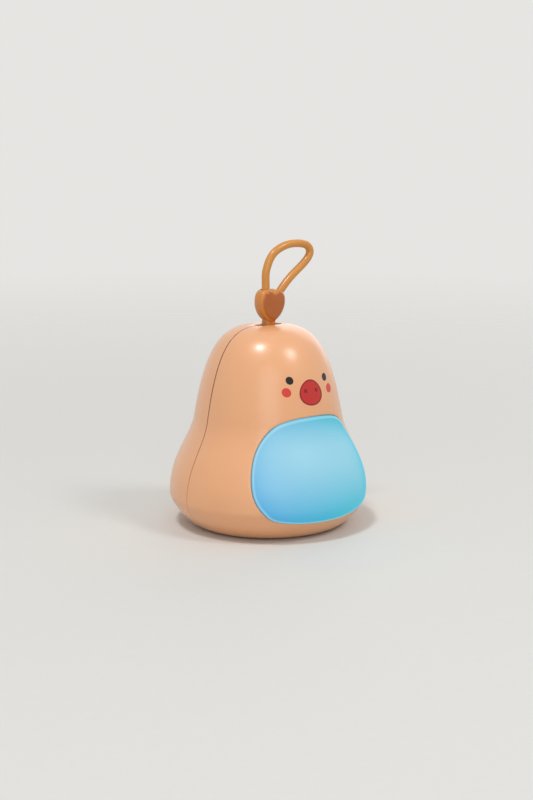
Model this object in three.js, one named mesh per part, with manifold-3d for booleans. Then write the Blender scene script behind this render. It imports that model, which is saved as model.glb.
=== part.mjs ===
// Portable night light: a pear-shaped housing with a glowing front panel and a carry loop on its crown.
// Millimetres, +Z up, the glowing front faces -Y. The origin is on the table under the middle of the feet.
import * as THREE from 'three';
import * as BufferGeometryUtils from 'three/addons/utils/BufferGeometryUtils.js';
import Module from 'manifold-3d';

const wasm = await Module();
wasm.setup();

// Fits that all pieces share
const gap = 0.3;
const overrun = 2;

// Facet counts
const bodySides = 36;
const profileRows = [4, 6, 10];
const ringSides = 20;
const smallSides = 10;
const screwSides = 8;
const wireSides = 6;
const outlineSteps = 6;
const cornerSteps = 3;
const heartEdgeSteps = 3;
const lobeSteps = 6;
const flankSteps = 5;
const tipSteps = 4;
const valleySteps = 4;

// Housing, two moulded shells split on the plane y = 0
const footHeight = 0.8;
const bodyHeight = 90.3;
const bodyRadius = 45;
const bellyHeight = 14;
const baseRadius = 33;
const neckRadius = 33.5;
const neckHeight = 49.6;
const neckLean = 0.165;
const wall = 2.2;
const baseOutShare = 0.32;
const baseUpShare = 0.3;
const waistLowShare = 0.46;
const waistHighShare = 0.33;
const shoulderShare = 1;
const crownShare = 0.48;

// Tongue of the front shell and the groove that takes it
const tongueThickness = 0.9;
const tongueReach = 1.5;

// Floor ledge of the shells, base cover and feet
const ledgeThickness = 1.8;
const ledgeBeside = 3.3;
const ledgeOverlap = 7.2;
const coverThickness = 2.4;
const coverRadius = 30.7;
const coverEdge = 0.5;
const footRadius = 4;
const footInset = 5.7;
const footThickness = 1.3;
const footEdge = 0.25;
const footCount = 4;

// Screws: shank, head and the boss that takes them
const shankRadius = 0.85;
const headRadius = 2;
const headHeight = 1.1;
const bossRadius = 2.6;
const coverScrewInset = 3.5;
const coverScrewAngle = 65;
const coverScrewLength = 6.4;
const coverBossHeight = 3.2;

// Light panel, drawn in the front view
const panelTop = 54;
const panelBottom = 8.6;
const panelInset = 13.4;
const panelWidestHeight = 23.5;
const panelShoulderShare = 0.642;
const panelShoulderHeight = 48.4;
const panelShoulderAngle = 46;
const panelCornerShare = 0.775;
const panelCornerHeight = 11.2;
const panelCornerAngle = 155;
const topFlatShare = 0.59;
const topShoulderShare = 0.25;
const sideShoulderShare = 0.7;
const sideWidestShare = 0.36;
const lowWidestShare = 0.4;
const lowCornerShare = 0.7;
const bottomCornerShare = 0.18;
const bottomFlatShare = 0.41;
const panelProud = 0.5;
const panelThickness = 2;
const panelSkirt = 1.8;
const flangeThickness = 1.2;
const flangeWidth = 1.5;

// White reflector tray behind the panel
const trayRoom = 6;
const trayFloor = 1.5;
const trayWall = 1.6;
const trayGrow = 1.2;
const earRadius = 2.9;
const earReach = 7.5;
const trayScrewLength = 6;
const upperEarShare = 0.612;
const upperEarRise = 6.1;
const lowerEarShare = 1.013;
const lowerEarHeight = 10.5;
const leadHoleRadius = 3;
const leadHoleHeight = 43.3;

// Light board with its lamps
const ledBoardRoom = 10.6;
const ledBoardHeight = 24;
const ledBoardMid = 27;
const ledBoardThickness = 1;
const ledBoardCorner = 2;
const ledWidth = 3.5;
const ledHeight = 2.8;
const ledThickness = 0.8;
const ledWell = 1.05;
const ledWellDepth = 0.25;
const ledMargin = 3;
const ledPitchZ = 11;
const ledColumns = 3;
const ledRows = 2;
const ledScrewInset = 3.5;
const ledScrewLength = 2.4;
const ledPostHeight = 3;

// Battery cell lying across the floor
const batteryRadius = 9.2;
const batteryRoom = 12.5;
const batteryY = 6;
const batteryHeight = 18.5;
const nubRadius = 2.8;
const nubLength = 1.2;
const crimpInset = 0.5;
const crimpWidth = 1.2;
const crimpPlace = 3;
const batteryEdge = 0.6;
const saddlePlace = 14;
const saddleWidth = 2.5;
const saddleHalfDepth = 8;
const saddleDrop = 3;
const clipWidth = 8;
const clipThickness = 1.5;
const clipFoot = 5.5;
const clipPostRadius = 2.3;
const clipPostHeight = 2.5;
const clipScrewLength = 3.2;

// Main board on the rear shell
const boardThickness = 1.6;
const boardHalfWidth = 14;
const boardBottom = 8;
const boardTop = 35;
const boardCorner = 1.5;
const boardScrewX = 10.5;
const boardScrewHigh = 31;
const boardScrewLow = 11.5;
const boardScrewLength = 5;

// Charging socket and its port
const portHeight = 14;
const socketWidth = 8.94;
const socketHeight = 3.26;
const socketInset = 1.4;
const socketSkin = 0.35;
const socketFloor = 2.5;
const tongueWidth = 6.6;
const tongueBoard = 0.7;
const tongueInset = 0.8;
const portRecessWidth = 13;
const portRecessHeight = 7;
const portRecessDepth = 1.1;

// Charge light: a chip on the board and a clear rod to the outside
const chargeX = 9;
const chipSize = 1.6;
const chipThickness = 0.8;
const rodRadius = 1.1;
const rodFlange = 1.8;
const rodFlangeThickness = 1.6;

// Power button and its switch
const buttonHeight = 27;
const buttonRadius = 4.5;
const buttonFlangeRadius = 5.8;
const buttonFlangeThickness = 1;
const buttonProud = 0.4;
const buttonTravel = 0.4;
const collarRadius = 6.4;
const collarHeight = 0.6;
const switchSize = 6;
const switchThickness = 3;
const stemRadius = 1.7;
const stemSink = 1;

// Carry strap: heart shackle on a cross pin, with a loop plugged into its lobes
const pivotDepth = 3.6;
const pinRadius = 0.9;
const pinLength = 15;
const pinBossRadius = 3.1;
const pinBossLength = 9.2;
const slotLength = 13.4;
const slotWidth = 4.6;
const dimpleLength = 21;
const dimpleWidth = 11;
const dimpleDepth = 0.6;
const strapLean = 4;
const eyeRadius = 2.6;
const stemWidth = 4.8;
const stemThickness = 3.9;
const heartWidth = 13.6;
const heartHeight = 14.6;
const heartThickness = 7.8;
const heartRise = 4.6;
const lobeRadius = 4.1;
const tipRadius = 2.4;
const flankRadius = 9.9;
const heartEdge = 1.5;
const loopRadius = 1.8;
const loopWidth = 24.35;
const loopHeight = 20.7;
const rightLegLean = 40;
const legDepth = 5;
const loopSides = 8;
const loopSteps = 32;

// Wires
const wireRadius = 0.65;
const wireSteps = 12;
const padX = 10;
const padHeight = 19.5;
const leadX = 1.6;
const leadPadHeight = 32;

// Heights and planes that follow from the sizes above
const crownTop = footHeight + bodyHeight;
const coverTop = footHeight + coverThickness;
const coverScrewCircle = coverRadius - coverScrewInset;
const footCircle = coverRadius - footInset;
const ledgeUnder = coverTop + gap;
const ledgeTop = ledgeUnder + ledgeThickness;
const flangeInner = wall + gap + flangeThickness;
const trayRim = flangeInner + gap;
const panelHalfWidth = bodyRadius - panelInset;
const panelShoulderX = panelShoulderShare * panelHalfWidth;
const panelCornerX = panelCornerShare * panelHalfWidth;
const batteryLength = 2 * (bodyRadius - batteryRoom);
const clipReach = batteryRadius + gap + clipThickness;
const trayBack = clipReach + clipFoot - batteryY + trayRoom;
const trayFront = trayBack + trayFloor;
const ledBoardBack = trayFront + gap;
const ledBoardFront = ledBoardBack + ledBoardThickness;
const ledBoardWidth = 2 * (panelHalfWidth - ledBoardRoom);
const ledPitchX = (ledBoardWidth - ledMargin) / ledColumns;
const ledScrewX = ledBoardWidth / 2 - ledScrewInset;
const pivotHeight = crownTop - pivotDepth;

// Finishes
const finish = (color, roughness, metalness) =>
  new THREE.MeshStandardMaterial({ color, roughness, metalness });
const peachPlastic = finish(0xf0ba92, 0.42, 0);
const whitePlastic = finish(0xf2f2ee, 0.5, 0);
const milkyPanel = finish(0xa8dcee, 0.4, 0);
const amberPlastic = finish(0xb9742a, 0.3, 0);
const amberSilicone = finish(0xc4822f, 0.35, 0);
const steel = finish(0xb9bcc0, 0.3, 1);
const nickel = finish(0xc9c6bd, 0.35, 1);
const boardGreen = finish(0x1d5a3a, 0.55, 0);
const boardWhite = finish(0xe9ebe6, 0.5, 0);
const lampYellow = finish(0xe8d98a, 0.3, 0);
const cellBlue = finish(0x2f6fb5, 0.35, 0);
const blackPlastic = finish(0x1b1b1d, 0.5, 0);
const clearRod = finish(0xe4f0f2, 0.15, 0);
const greyRubber = finish(0x8f8a86, 0.8, 0);
const redWire = finish(0xc0261f, 0.45, 0);
const blackWire = finish(0x17171a, 0.45, 0);
const whiteWire = finish(0xe6e4de, 0.45, 0);

const nightLight = new THREE.Group();

// Turns a closed geometry into a solid that can be joined and cut
function solid(geometry) {
  geometry.deleteAttribute('normal');
  geometry.deleteAttribute('uv');
  const merged = BufferGeometryUtils.mergeVertices(geometry);
  const index = merged.index.array;
  const triangles = [];
  for (let i = 0; i < index.length; i += 3) {
    const [a, b, c] = index.slice(i, i + 3);
    if (a !== b && b !== c && c !== a) triangles.push(a, b, c);
  }
  const vertProperties = merged.attributes.position.array;
  const triVerts = new Uint32Array(triangles);
  return new wasm.Manifold(new wasm.Mesh({ numProp: 3, vertProperties, triVerts }));
}

// Adds a finished solid to the model as a named mesh
function addPiece(name, shape, material, parent = nightLight) {
  const { vertProperties, triVerts, numProp } = shape.getMesh();
  const geometry = new THREE.BufferGeometry();
  geometry.setAttribute('position', new THREE.BufferAttribute(vertProperties, numProp));
  geometry.setIndex(new THREE.BufferAttribute(triVerts, 1));
  geometry.computeVertexNormals();
  const mesh = new THREE.Mesh(geometry, material);
  mesh.name = name;
  parent.add(mesh);
}

// Block between two corners
function block(x0, x1, y0, y1, z0, z1) {
  const geometry = new THREE.BoxGeometry(x1 - x0, y1 - y0, z1 - z0);
  return solid(geometry.translate((x0 + x1) / 2, (y0 + y1) / 2, (z0 + z1) / 2));
}

// Upright round post
function post(radius, x, y, z0, z1, sides = smallSides) {
  const geometry = new THREE.CylinderGeometry(radius, radius, z1 - z0, sides);
  return solid(geometry.rotateX(Math.PI / 2).translate(x, y, (z0 + z1) / 2));
}

// Round bar along Y
function bar(radius, x, z, y0, y1, sides = smallSides) {
  const geometry = new THREE.CylinderGeometry(radius, radius, y1 - y0, sides);
  return solid(geometry.translate(x, (y0 + y1) / 2, z));
}

// Turned piece from a profile of radius and height, standing on its foot at z = 0
function turned(profile, sides = smallSides) {
  const points = profile.map(([radius, height]) => new THREE.Vector2(radius, height));
  const geometry = new THREE.LatheGeometry(points, sides, Math.PI / sides);
  return geometry.rotateX(Math.PI / 2);
}

// Prism along Y of an outline drawn in the front view
function frontPrism(outline, y0, y1) {
  const shape = outline instanceof THREE.Shape ? outline : new THREE.Shape(outline);
  const options = { depth: y1 - y0, bevelEnabled: false, curveSegments: cornerSteps };
  const geometry = new THREE.ExtrudeGeometry(shape, options);
  return solid(geometry.rotateX(Math.PI / 2).translate(0, y1, 0));
}

// Outline with straight sides and round ends
function stadium(width, height, x, z) {
  const radius = height / 2;
  const reach = width / 2 - radius;
  const shape = new THREE.Shape();
  shape.absarc(x + reach, z, radius, -Math.PI / 2, Math.PI / 2);
  shape.absarc(x - reach, z, radius, Math.PI / 2, Math.PI * 3 / 2);
  return shape;
}

// Rectangle with round corners
function roundedRectangle(width, height, x, z, corner) {
  const shape = new THREE.Shape();
  const reachX = width / 2 - corner;
  const reachZ = height / 2 - corner;
  const centres = [[reachX, reachZ], [-reachX, reachZ], [-reachX, -reachZ], [reachX, -reachZ]];
  centres.forEach(([cx, cz], i) => {
    shape.absarc(x + cx, z + cz, corner, i * Math.PI / 2, (i + 1) * Math.PI / 2);
  });
  return shape;
}

// Side of the housing from base to crown, as radius and height
function housingCurves() {
  const neckSpan = neckHeight - bellyHeight;
  const crownSpan = bodyHeight - neckHeight;
  const outward = new THREE.Vector2(1, 0);
  const upward = new THREE.Vector2(0, 1);
  const inLean = new THREE.Vector2(-Math.sin(neckLean), Math.cos(neckLean));
  const base = new THREE.Vector2(baseRadius, 0);
  const belly = new THREE.Vector2(bodyRadius, bellyHeight);
  const neck = new THREE.Vector2(neckRadius, neckHeight);
  const crown = new THREE.Vector2(0, bodyHeight);
  const from = (point, direction, length) => point.clone().addScaledVector(direction, length);
  const baseOut = from(base, outward, baseOutShare * (bodyRadius - baseRadius));
  const bellyDown = from(belly, upward, -baseUpShare * bellyHeight);
  const bellyUp = from(belly, upward, waistLowShare * neckSpan);
  const neckDown = from(neck, inLean, -waistHighShare * neckSpan);
  const neckUp = from(neck, inLean, shoulderShare * crownSpan);
  const crownOut = from(crown, outward, crownShare * neckRadius);
  return [
    new THREE.CubicBezierCurve(base, baseOut, bellyDown, belly),
    new THREE.CubicBezierCurve(belly, bellyUp, neckDown, neck),
    new THREE.CubicBezierCurve(neck, neckUp, crownOut, crown),
  ];
}

// Profile of the housing moved inwards by a depth, or outwards where the depth is negative
function housingProfile(depth) {
  const profile = [[0, footHeight + depth]];
  housingCurves().forEach((curve, part) => {
    for (let i = 0; i < profileRows[part]; i++) {
      const point = curve.getPoint(i / profileRows[part]);
      const along = curve.getTangent(i / profileRows[part]);
      profile.push([point.x - depth * along.y, point.y + depth * along.x + footHeight]);
    }
  });
  profile.push([0, crownTop - depth]);
  return profile;
}

const pear = (depth) => solid(turned(housingProfile(depth), bodySides));

// Radius of that form at a height
function radiusAt(height, depth) {
  const profile = housingProfile(depth);
  const i = profile.findIndex(([, z]) => z > height);
  const [lowRadius, low] = profile[i - 1];
  const [highRadius, high] = profile[i];
  return lowRadius + (highRadius - lowRadius) * (height - low) / (high - low);
}

// Planes that follow from the form: the button's seat, the board behind its switch, the port
const buttonSeat = radiusAt(buttonHeight + collarRadius, wall) - collarHeight;
const switchTop = buttonSeat - buttonFlangeThickness - gap - buttonTravel;
const boardBack = switchTop - switchThickness - gap;
const boardFront = boardBack - boardThickness;
const socketMouth = radiusAt(portHeight, 0) - socketInset;
const portRecessPlane = radiusAt(portHeight, 0) - portRecessDepth;

// Layer of the housing between two depths
const layer = (outer, inner) => pear(outer).subtract(pear(inner));

// Half space in front of or behind a plane, as a block larger than the housing
function frontHalf(y) {
  const reach = bodyRadius + overrun;
  return block(-reach, reach, -reach, y, -overrun, crownTop + overrun);
}

function rearHalf(y) {
  const reach = bodyRadius + overrun;
  return block(-reach, reach, y, reach, -overrun, crownTop + overrun);
}

// Boss on the inside of a shell, from a plane out into the wall
function wallBoss(x, z, plane, toward) {
  const far = toward * bodyRadius;
  const boss = bar(bossRadius, x, z, Math.min(plane, far), Math.max(plane, far));
  return boss.intersect(pear(wall / 2));
}

// Places where the base cover is screwed to the shells, with the side of y they lie on
function coverScrewPlaces() {
  const angle = THREE.MathUtils.degToRad(coverScrewAngle);
  const x = coverScrewCircle * Math.sin(angle);
  const y = coverScrewCircle * Math.cos(angle);
  return [[-x, -y], [x, -y], [-x, y], [x, y]];
}

// Places of the screws of the boards, in the front view
const boardScrewPlaces = [[-boardScrewX, boardScrewHigh], [boardScrewX, boardScrewLow]];
const ledScrewPlaces = [[-ledScrewX, ledBoardMid], [ledScrewX, ledBoardMid]];

// Half outline of the panel, as curves from the top round the right side to the bottom
function panelCurves() {
  const top = new THREE.Vector2(0, panelTop);
  const shoulder = new THREE.Vector2(panelShoulderX, panelShoulderHeight);
  const widest = new THREE.Vector2(panelHalfWidth, panelWidestHeight);
  const corner = new THREE.Vector2(panelCornerX, panelCornerHeight);
  const bottom = new THREE.Vector2(0, panelBottom);
  const shoulderAngle = THREE.MathUtils.degToRad(-panelShoulderAngle);
  const cornerAngle = THREE.MathUtils.degToRad(-panelCornerAngle);
  const shoulderWay = new THREE.Vector2(Math.cos(shoulderAngle), Math.sin(shoulderAngle));
  const cornerWay = new THREE.Vector2(Math.cos(cornerAngle), Math.sin(cornerAngle));
  const outward = new THREE.Vector2(1, 0);
  const upward = new THREE.Vector2(0, 1);
  const from = (point, direction, length) => point.clone().addScaledVector(direction, length);
  const sideDrop = panelShoulderHeight - panelWidestHeight;
  const lowDrop = panelWidestHeight - panelCornerHeight;
  const cornerIn = panelHalfWidth - panelCornerX;
  return [
    new THREE.CubicBezierCurve(top, from(top, outward, topFlatShare * panelShoulderX),
      from(shoulder, shoulderWay, -topShoulderShare * panelShoulderX), shoulder),
    new THREE.CubicBezierCurve(shoulder,
      from(shoulder, shoulderWay, sideShoulderShare * (panelHalfWidth - panelShoulderX)),
      from(widest, upward, sideWidestShare * sideDrop), widest),
    new THREE.CubicBezierCurve(widest, from(widest, upward, -lowWidestShare * lowDrop),
      from(corner, cornerWay, -lowCornerShare * cornerIn), corner),
    new THREE.CubicBezierCurve(corner, from(corner, cornerWay, bottomCornerShare * panelCornerX),
      from(bottom, outward, bottomFlatShare * panelCornerX), bottom),
  ];
}

// Height of the panel's upper edge at a distance from the middle
function panelEdgeHeight(x) {
  const edge = panelCurves().slice(0, 2).flatMap((curve) => curve.getPoints(outlineSteps));
  const i = edge.findIndex((point) => point.x > x);
  const [inner, outer] = [edge[i - 1], edge[i]];
  return inner.y + (outer.y - inner.y) * (x - inner.x) / (outer.x - inner.x);
}

// Places of the screws that hold the tray, in the front view
function trayScrewPlaces() {
  const upperX = upperEarShare * neckRadius;
  const upperHeight = panelEdgeHeight(upperX) + upperEarRise;
  const lowerX = lowerEarShare * panelHalfWidth;
  return [[-upperX, upperHeight], [upperX, upperHeight], [-lowerX, lowerEarHeight], [lowerX, lowerEarHeight]];
}

// Whole outline of the panel in the front view, grown by a margin
function panelOutline(margin) {
  const right = [];
  for (const curve of panelCurves()) {
    for (let i = 0; i < outlineSteps; i++) {
      const point = curve.getPoint(i / outlineSteps);
      const along = curve.getTangent(i / outlineSteps);
      right.push(new THREE.Vector2(point.x - margin * along.y, point.y + margin * along.x));
    }
  }
  const bottom = new THREE.Vector2(0, panelBottom - margin);
  const left = right.slice(1).reverse().map((point) => new THREE.Vector2(-point.x, point.y));
  return [...right, bottom, ...left].reverse();
}

// Prism of the panel's outline through the front of the housing
const panelPrism = (margin, back) =>
  frontPrism(panelOutline(margin), -bodyRadius - overrun, -back);

// Slot in the crown for the strap, with a shallow dimple round it
function crownSlot() {
  const slot = new THREE.ExtrudeGeometry(stadium(slotLength, slotWidth, 0, 0), {
    depth: pivotDepth + pinBossRadius + overrun,
    bevelEnabled: false,
    curveSegments: cornerSteps,
  });
  slot.translate(0, 0, pivotHeight - pinBossRadius);
  const dimple = new THREE.SphereGeometry(1, ringSides, outlineSteps);
  dimple.rotateX(Math.PI / 2).scale(dimpleLength / 2, dimpleWidth / 2, dimpleDepth);
  return solid(slot).add(solid(dimple.translate(0, 0, crownTop)));
}

// Blind bosses under the crown that carry the ends of the strap's cross pin
function pinBoss(side) {
  const near = side * (slotWidth / 2 + gap);
  const far = side * pinBossLength;
  const boss = bar(pinBossRadius, 0, pivotHeight, Math.min(near, far), Math.max(near, far));
  return boss.intersect(pear(wall / 2));
}

const pinBore = () =>
  bar(pinRadius + gap, 0, pivotHeight, -pinLength / 2 - gap, pinLength / 2 + gap);

// Both halves of the housing before they are split, open at the base
function hollowHousing() {
  const ledge = post(coverRadius + ledgeBeside, 0, 0, 0, ledgeTop, bodySides);
  const recess = post(coverRadius + gap, 0, 0, -overrun, ledgeUnder, bodySides);
  const opening = post(coverRadius - ledgeOverlap, 0, 0, 0, ledgeTop + overrun, bodySides);
  const cavity = pear(wall).subtract(ledge);
  return pear(0).subtract(cavity).subtract(recess).subtract(opening);
}

// Bosses that take the base cover's screws, on one shell
function coverBosses(shell, side) {
  for (const [x, y] of coverScrewPlaces()) {
    if (Math.sign(y) !== side) continue;
    const top = ledgeTop + coverBossHeight;
    shell = shell.add(post(bossRadius, x, y, ledgeUnder, top));
    shell = shell.subtract(post(shankRadius + gap, x, y, -overrun, top + overrun));
  }
  return shell;
}

// Front shell: window for the panel, tongue along the split, bosses for the tray
function frontShell() {
  const aboveLedge = block(-bodyRadius, bodyRadius, -tongueReach, tongueReach, ledgeTop + gap, crownTop);
  const tongue = layer(wall - tongueThickness, wall).intersect(aboveLedge);
  let shell = hollowHousing().intersect(frontHalf(-gap / 2)).add(tongue);
  shell = coverBosses(shell, -1).add(pinBoss(-1));
  const besidePanel = panelPrism(flangeWidth + gap, trayBack);
  for (const [x, z] of trayScrewPlaces()) {
    shell = shell.add(wallBoss(x, z, -trayFront - gap, -1).subtract(besidePanel));
  }
  for (const [x, z] of trayScrewPlaces()) {
    const depth = trayFront + trayScrewLength;
    shell = shell.subtract(bar(shankRadius + gap, x, z, -depth, 0));
  }
  return shell.subtract(panelPrism(0, trayBack)).subtract(crownSlot()).subtract(pinBore());
}

// Ring inside the rear shell that guides the button
function buttonCollar() {
  const collar = bar(collarRadius, 0, buttonHeight, buttonSeat + gap, bodyRadius, ringSides);
  return collar.intersect(pear(wall / 2));
}

// Rear shell: groove for the tongue, button hole, charging port, charge light hole
function rearShell() {
  const reach = tongueReach + gap;
  const beside = block(-bodyRadius, bodyRadius, -reach, reach, ledgeTop, crownTop);
  const groove = layer(wall - tongueThickness - gap, wall + overrun).intersect(beside);
  let shell = hollowHousing().intersect(rearHalf(gap / 2)).subtract(groove);
  shell = coverBosses(shell, 1).add(pinBoss(1)).add(buttonCollar());
  for (const [x, z] of boardScrewPlaces) shell = shell.add(wallBoss(x, z, boardBack + gap, 1));
  for (const [x, z] of boardScrewPlaces) {
    shell = shell.subtract(bar(shankRadius + gap, x, z, 0, boardFront + boardScrewLength + gap));
  }
  const outside = bodyRadius + overrun;
  const port = stadium(socketWidth + 2 * gap, socketHeight + 2 * gap, 0, portHeight);
  const recess = stadium(portRecessWidth, portRecessHeight, 0, portHeight);
  return shell
    .subtract(frontPrism(port, boardBack, outside))
    .subtract(frontPrism(recess, portRecessPlane, outside))
    .subtract(bar(rodRadius + gap, -chargeX, portHeight, boardBack, outside))
    .subtract(bar(buttonRadius + gap, 0, buttonHeight, boardBack, outside, ringSides))
    .subtract(crownSlot())
    .subtract(pinBore());
}

// Milky panel: curved face with a skirt, and a flange that the window's edge holds
function lightPanel() {
  const face = pear(-panelProud).intersect(panelPrism(-gap, trayBack));
  const flange = pear(wall + gap).intersect(panelPrism(flangeWidth, trayBack));
  const hollow = pear(panelThickness).intersect(panelPrism(-gap - panelSkirt, trayBack));
  return face.add(flange).subtract(pear(flangeInner)).subtract(hollow);
}

// Ear of the tray under one screw, reaching in to the tray's wall
function trayEar(x, z) {
  const inward = new THREE.Vector2(-x, ledBoardMid - z).setLength(earReach);
  const ear = new THREE.ExtrudeGeometry(stadium(earReach + 2 * earRadius, 2 * earRadius, earReach / 2, 0), {
    depth: trayFloor,
    bevelEnabled: false,
    curveSegments: cornerSteps,
  });
  ear.rotateZ(inward.angle()).rotateX(Math.PI / 2).translate(x, -trayBack, z);
  return solid(ear);
}

// Reflector: a white tray that closes the light chamber behind the panel
function reflector() {
  let tray = pear(trayRim).intersect(panelPrism(trayGrow, trayBack));
  tray = tray.subtract(panelPrism(trayGrow - trayWall, trayFront));
  const inside = pear(wall + gap);
  for (const [x, z] of trayScrewPlaces()) tray = tray.add(trayEar(x, z).intersect(inside));
  for (const [x, z] of ledScrewPlaces) {
    tray = tray.add(bar(bossRadius, x, z, -trayFront, -trayBack + ledPostHeight));
    tray = tray.subtract(bar(shankRadius + gap, x, z, -trayFront - overrun, -trayBack + ledPostHeight - trayFloor));
  }
  for (const [x, z] of trayScrewPlaces()) {
    tray = tray.subtract(bar(shankRadius + gap, x, z, -trayFront - overrun, 0));
  }
  const leadHole = bar(leadHoleRadius, 0, leadHoleHeight, -trayFront - overrun, 0);
  return tray.subtract(leadHole);
}

// Base cover: a disc with cups for the screws, pockets for the feet and saddles for the cell
function baseCover() {
  const profile = [
    [0, footHeight],
    [coverRadius - coverEdge, footHeight],
    [coverRadius, footHeight + coverEdge],
    [coverRadius, coverTop],
    [0, coverTop],
  ];
  let cover = solid(turned(profile, bodySides));
  for (const side of [-1, 1]) {
    const x = side * saddlePlace;
    cover = cover.add(block(x - saddleWidth / 2, x + saddleWidth / 2,
      batteryY - saddleHalfDepth, batteryY + saddleHalfDepth,
      coverTop - coverThickness / 2, batteryHeight - saddleDrop));
    cover = cover.add(clipPost(side));
  }
  cover = cover.subtract(acrossBar(batteryRadius + gap, saddlePlace + saddleWidth));
  for (const [x, y] of coverScrewPlaces()) {
    cover = cover.subtract(post(shankRadius + gap, x, y, 0, coverTop + overrun));
    cover = cover.subtract(post(headRadius + gap, x, y, 0, footHeight + headHeight + gap));
  }
  for (const [x, y] of footPlaces()) {
    cover = cover.subtract(post(footRadius + gap, x, y, 0, footThickness + gap, ringSides));
  }
  return cover;
}

// Round bar along X at the cell's place
function acrossBar(radius, halfLength) {
  const geometry = new THREE.CylinderGeometry(radius, radius, 2 * halfLength, ringSides);
  return solid(geometry.rotateZ(Math.PI / 2).translate(0, batteryY, batteryHeight));
}

const clipScrewY = (side) => batteryY + side * (clipReach + clipFoot / 2);

// Short post on the cover under one end of the clip
function clipPost(side) {
  const top = coverTop + clipPostHeight;
  const y = clipScrewY(side);
  const solidPost = post(clipPostRadius, 0, y, coverTop - coverThickness / 2, top);
  return solidPost.subtract(post(shankRadius + gap, 0, y, coverTop - gap, top + overrun));
}

// Clip that arches over the cell, with a foot on each side
function batteryClip() {
  const footUnder = coverTop + clipPostHeight + gap;
  const footTop = footUnder + clipThickness;
  const half = clipWidth / 2;
  const arch = acrossBar(clipReach, half);
  const sides = block(-half, half, batteryY - clipReach, batteryY + clipReach, footUnder, batteryHeight);
  const feet = block(-half, half, batteryY - clipReach - clipFoot, batteryY + clipReach + clipFoot,
    footUnder, footTop);
  const inner = acrossBar(batteryRadius + gap, clipWidth);
  const below = block(-clipWidth, clipWidth, batteryY - batteryRadius - gap,
    batteryY + batteryRadius + gap, 0, batteryHeight);
  let clip = arch.add(sides).add(feet).subtract(inner).subtract(below);
  for (const side of [-1, 1]) {
    clip = clip.subtract(post(shankRadius + gap, 0, clipScrewY(side), 0, footTop + overrun));
  }
  return clip;
}

// Cell with a crimped groove at one end and a contact nub
function batteryCell() {
  const can = batteryLength - nubLength;
  const profile = [
    [0, 0],
    [batteryRadius - batteryEdge, 0],
    [batteryRadius, batteryEdge],
    [batteryRadius, can - crimpPlace - crimpWidth],
    [batteryRadius - crimpInset, can - crimpPlace - crimpWidth / 2],
    [batteryRadius, can - crimpPlace],
    [batteryRadius, can - batteryEdge],
    [batteryRadius - batteryEdge, can],
    [nubRadius, can],
    [nubRadius, batteryLength],
    [0, batteryLength],
  ];
  const cell = turned(profile, ringSides);
  return solid(cell.rotateY(Math.PI / 2).translate(-batteryLength / 2, batteryY, batteryHeight));
}

// Places of the feet on the base cover
function footPlaces() {
  return Array.from({ length: footCount }, (unused, i) => {
    const angle = i * 2 * Math.PI / footCount;
    return [footCircle * Math.sin(angle), -footCircle * Math.cos(angle)];
  });
}

// Foot: a soft disc with a rounded lower edge
function foot(x, y) {
  const profile = [
    [0, 0],
    [footRadius - footEdge, 0],
    [footRadius, footEdge],
    [footRadius, footThickness],
    [0, footThickness],
  ];
  return solid(turned(profile).translate(x, y, 0));
}

// Pan head screw along +Z, with the top of its head at z = 0
function screw(length) {
  const tip = headHeight + length;
  const profile = [
    [0, 0],
    [headRadius - headHeight / 2, 0],
    [headRadius, headHeight / 2],
    [headRadius, headHeight],
    [shankRadius, headHeight],
    [shankRadius, tip],
    [0, tip],
  ];
  return solid(turned(profile, screwSides));
}

// Adds a screw with its head at a place, pointing up, forwards or backwards
function addScrew(name, length, x, y, z, way) {
  const holder = new THREE.Group();
  holder.position.set(x, y, z);
  if (way === 'front') holder.rotation.x = Math.PI / 2;
  if (way === 'rear') holder.rotation.x = -Math.PI / 2;
  if (way === 'down') holder.rotation.x = Math.PI;
  nightLight.add(holder);
  addPiece(name, screw(length), steel, holder);
}

// Light board: a white board with two screw holes
function ledBoard() {
  const outline = roundedRectangle(ledBoardWidth, ledBoardHeight, 0, ledBoardMid, ledBoardCorner);
  let board = frontPrism(outline, -ledBoardFront, -ledBoardBack);
  for (const [x, z] of ledScrewPlaces) {
    board = board.subtract(bar(shankRadius + gap, x, z, -ledBoardFront - overrun, -trayFront));
  }
  return board;
}

// Lamp package with a round well in its face
function ledPackage(x, z) {
  const face = -ledBoardFront - gap - ledThickness;
  const body = block(x - ledWidth / 2, x + ledWidth / 2, face, face + ledThickness,
    z - ledHeight / 2, z + ledHeight / 2);
  return body.subtract(bar(ledWell, x, z, face - overrun, face + ledWellDepth));
}

// Main board: upright behind the cell, screwed to the rear shell
function mainBoard() {
  const width = 2 * boardHalfWidth;
  const height = boardTop - boardBottom;
  const outline = roundedRectangle(width, height, 0, boardBottom + height / 2, boardCorner);
  let board = frontPrism(outline, boardFront, boardBack);
  for (const [x, z] of boardScrewPlaces) {
    board = board.subtract(bar(shankRadius + gap, x, z, 0, boardBack + overrun));
  }
  return board;
}

// Charging socket: a drawn shell with a thin contact tongue inside
function usbSocket() {
  const back = boardBack + gap;
  const outer = frontPrism(stadium(socketWidth, socketHeight, 0, portHeight), back, socketMouth);
  const bore = stadium(socketWidth - 2 * socketSkin, socketHeight - 2 * socketSkin, 0, portHeight);
  const hollow = frontPrism(bore, back + socketFloor, socketMouth + overrun);
  const tongue = block(-tongueWidth / 2, tongueWidth / 2, back, socketMouth - tongueInset,
    portHeight - tongueBoard / 2, portHeight + tongueBoard / 2);
  return outer.subtract(hollow).add(tongue);
}

// Charge light chip on the back of the board
function chargeChip() {
  const back = boardBack + gap;
  return block(-chargeX - chipSize / 2, -chargeX + chipSize / 2, back, back + chipThickness,
    portHeight - chipSize / 2, portHeight + chipSize / 2);
}

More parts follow.
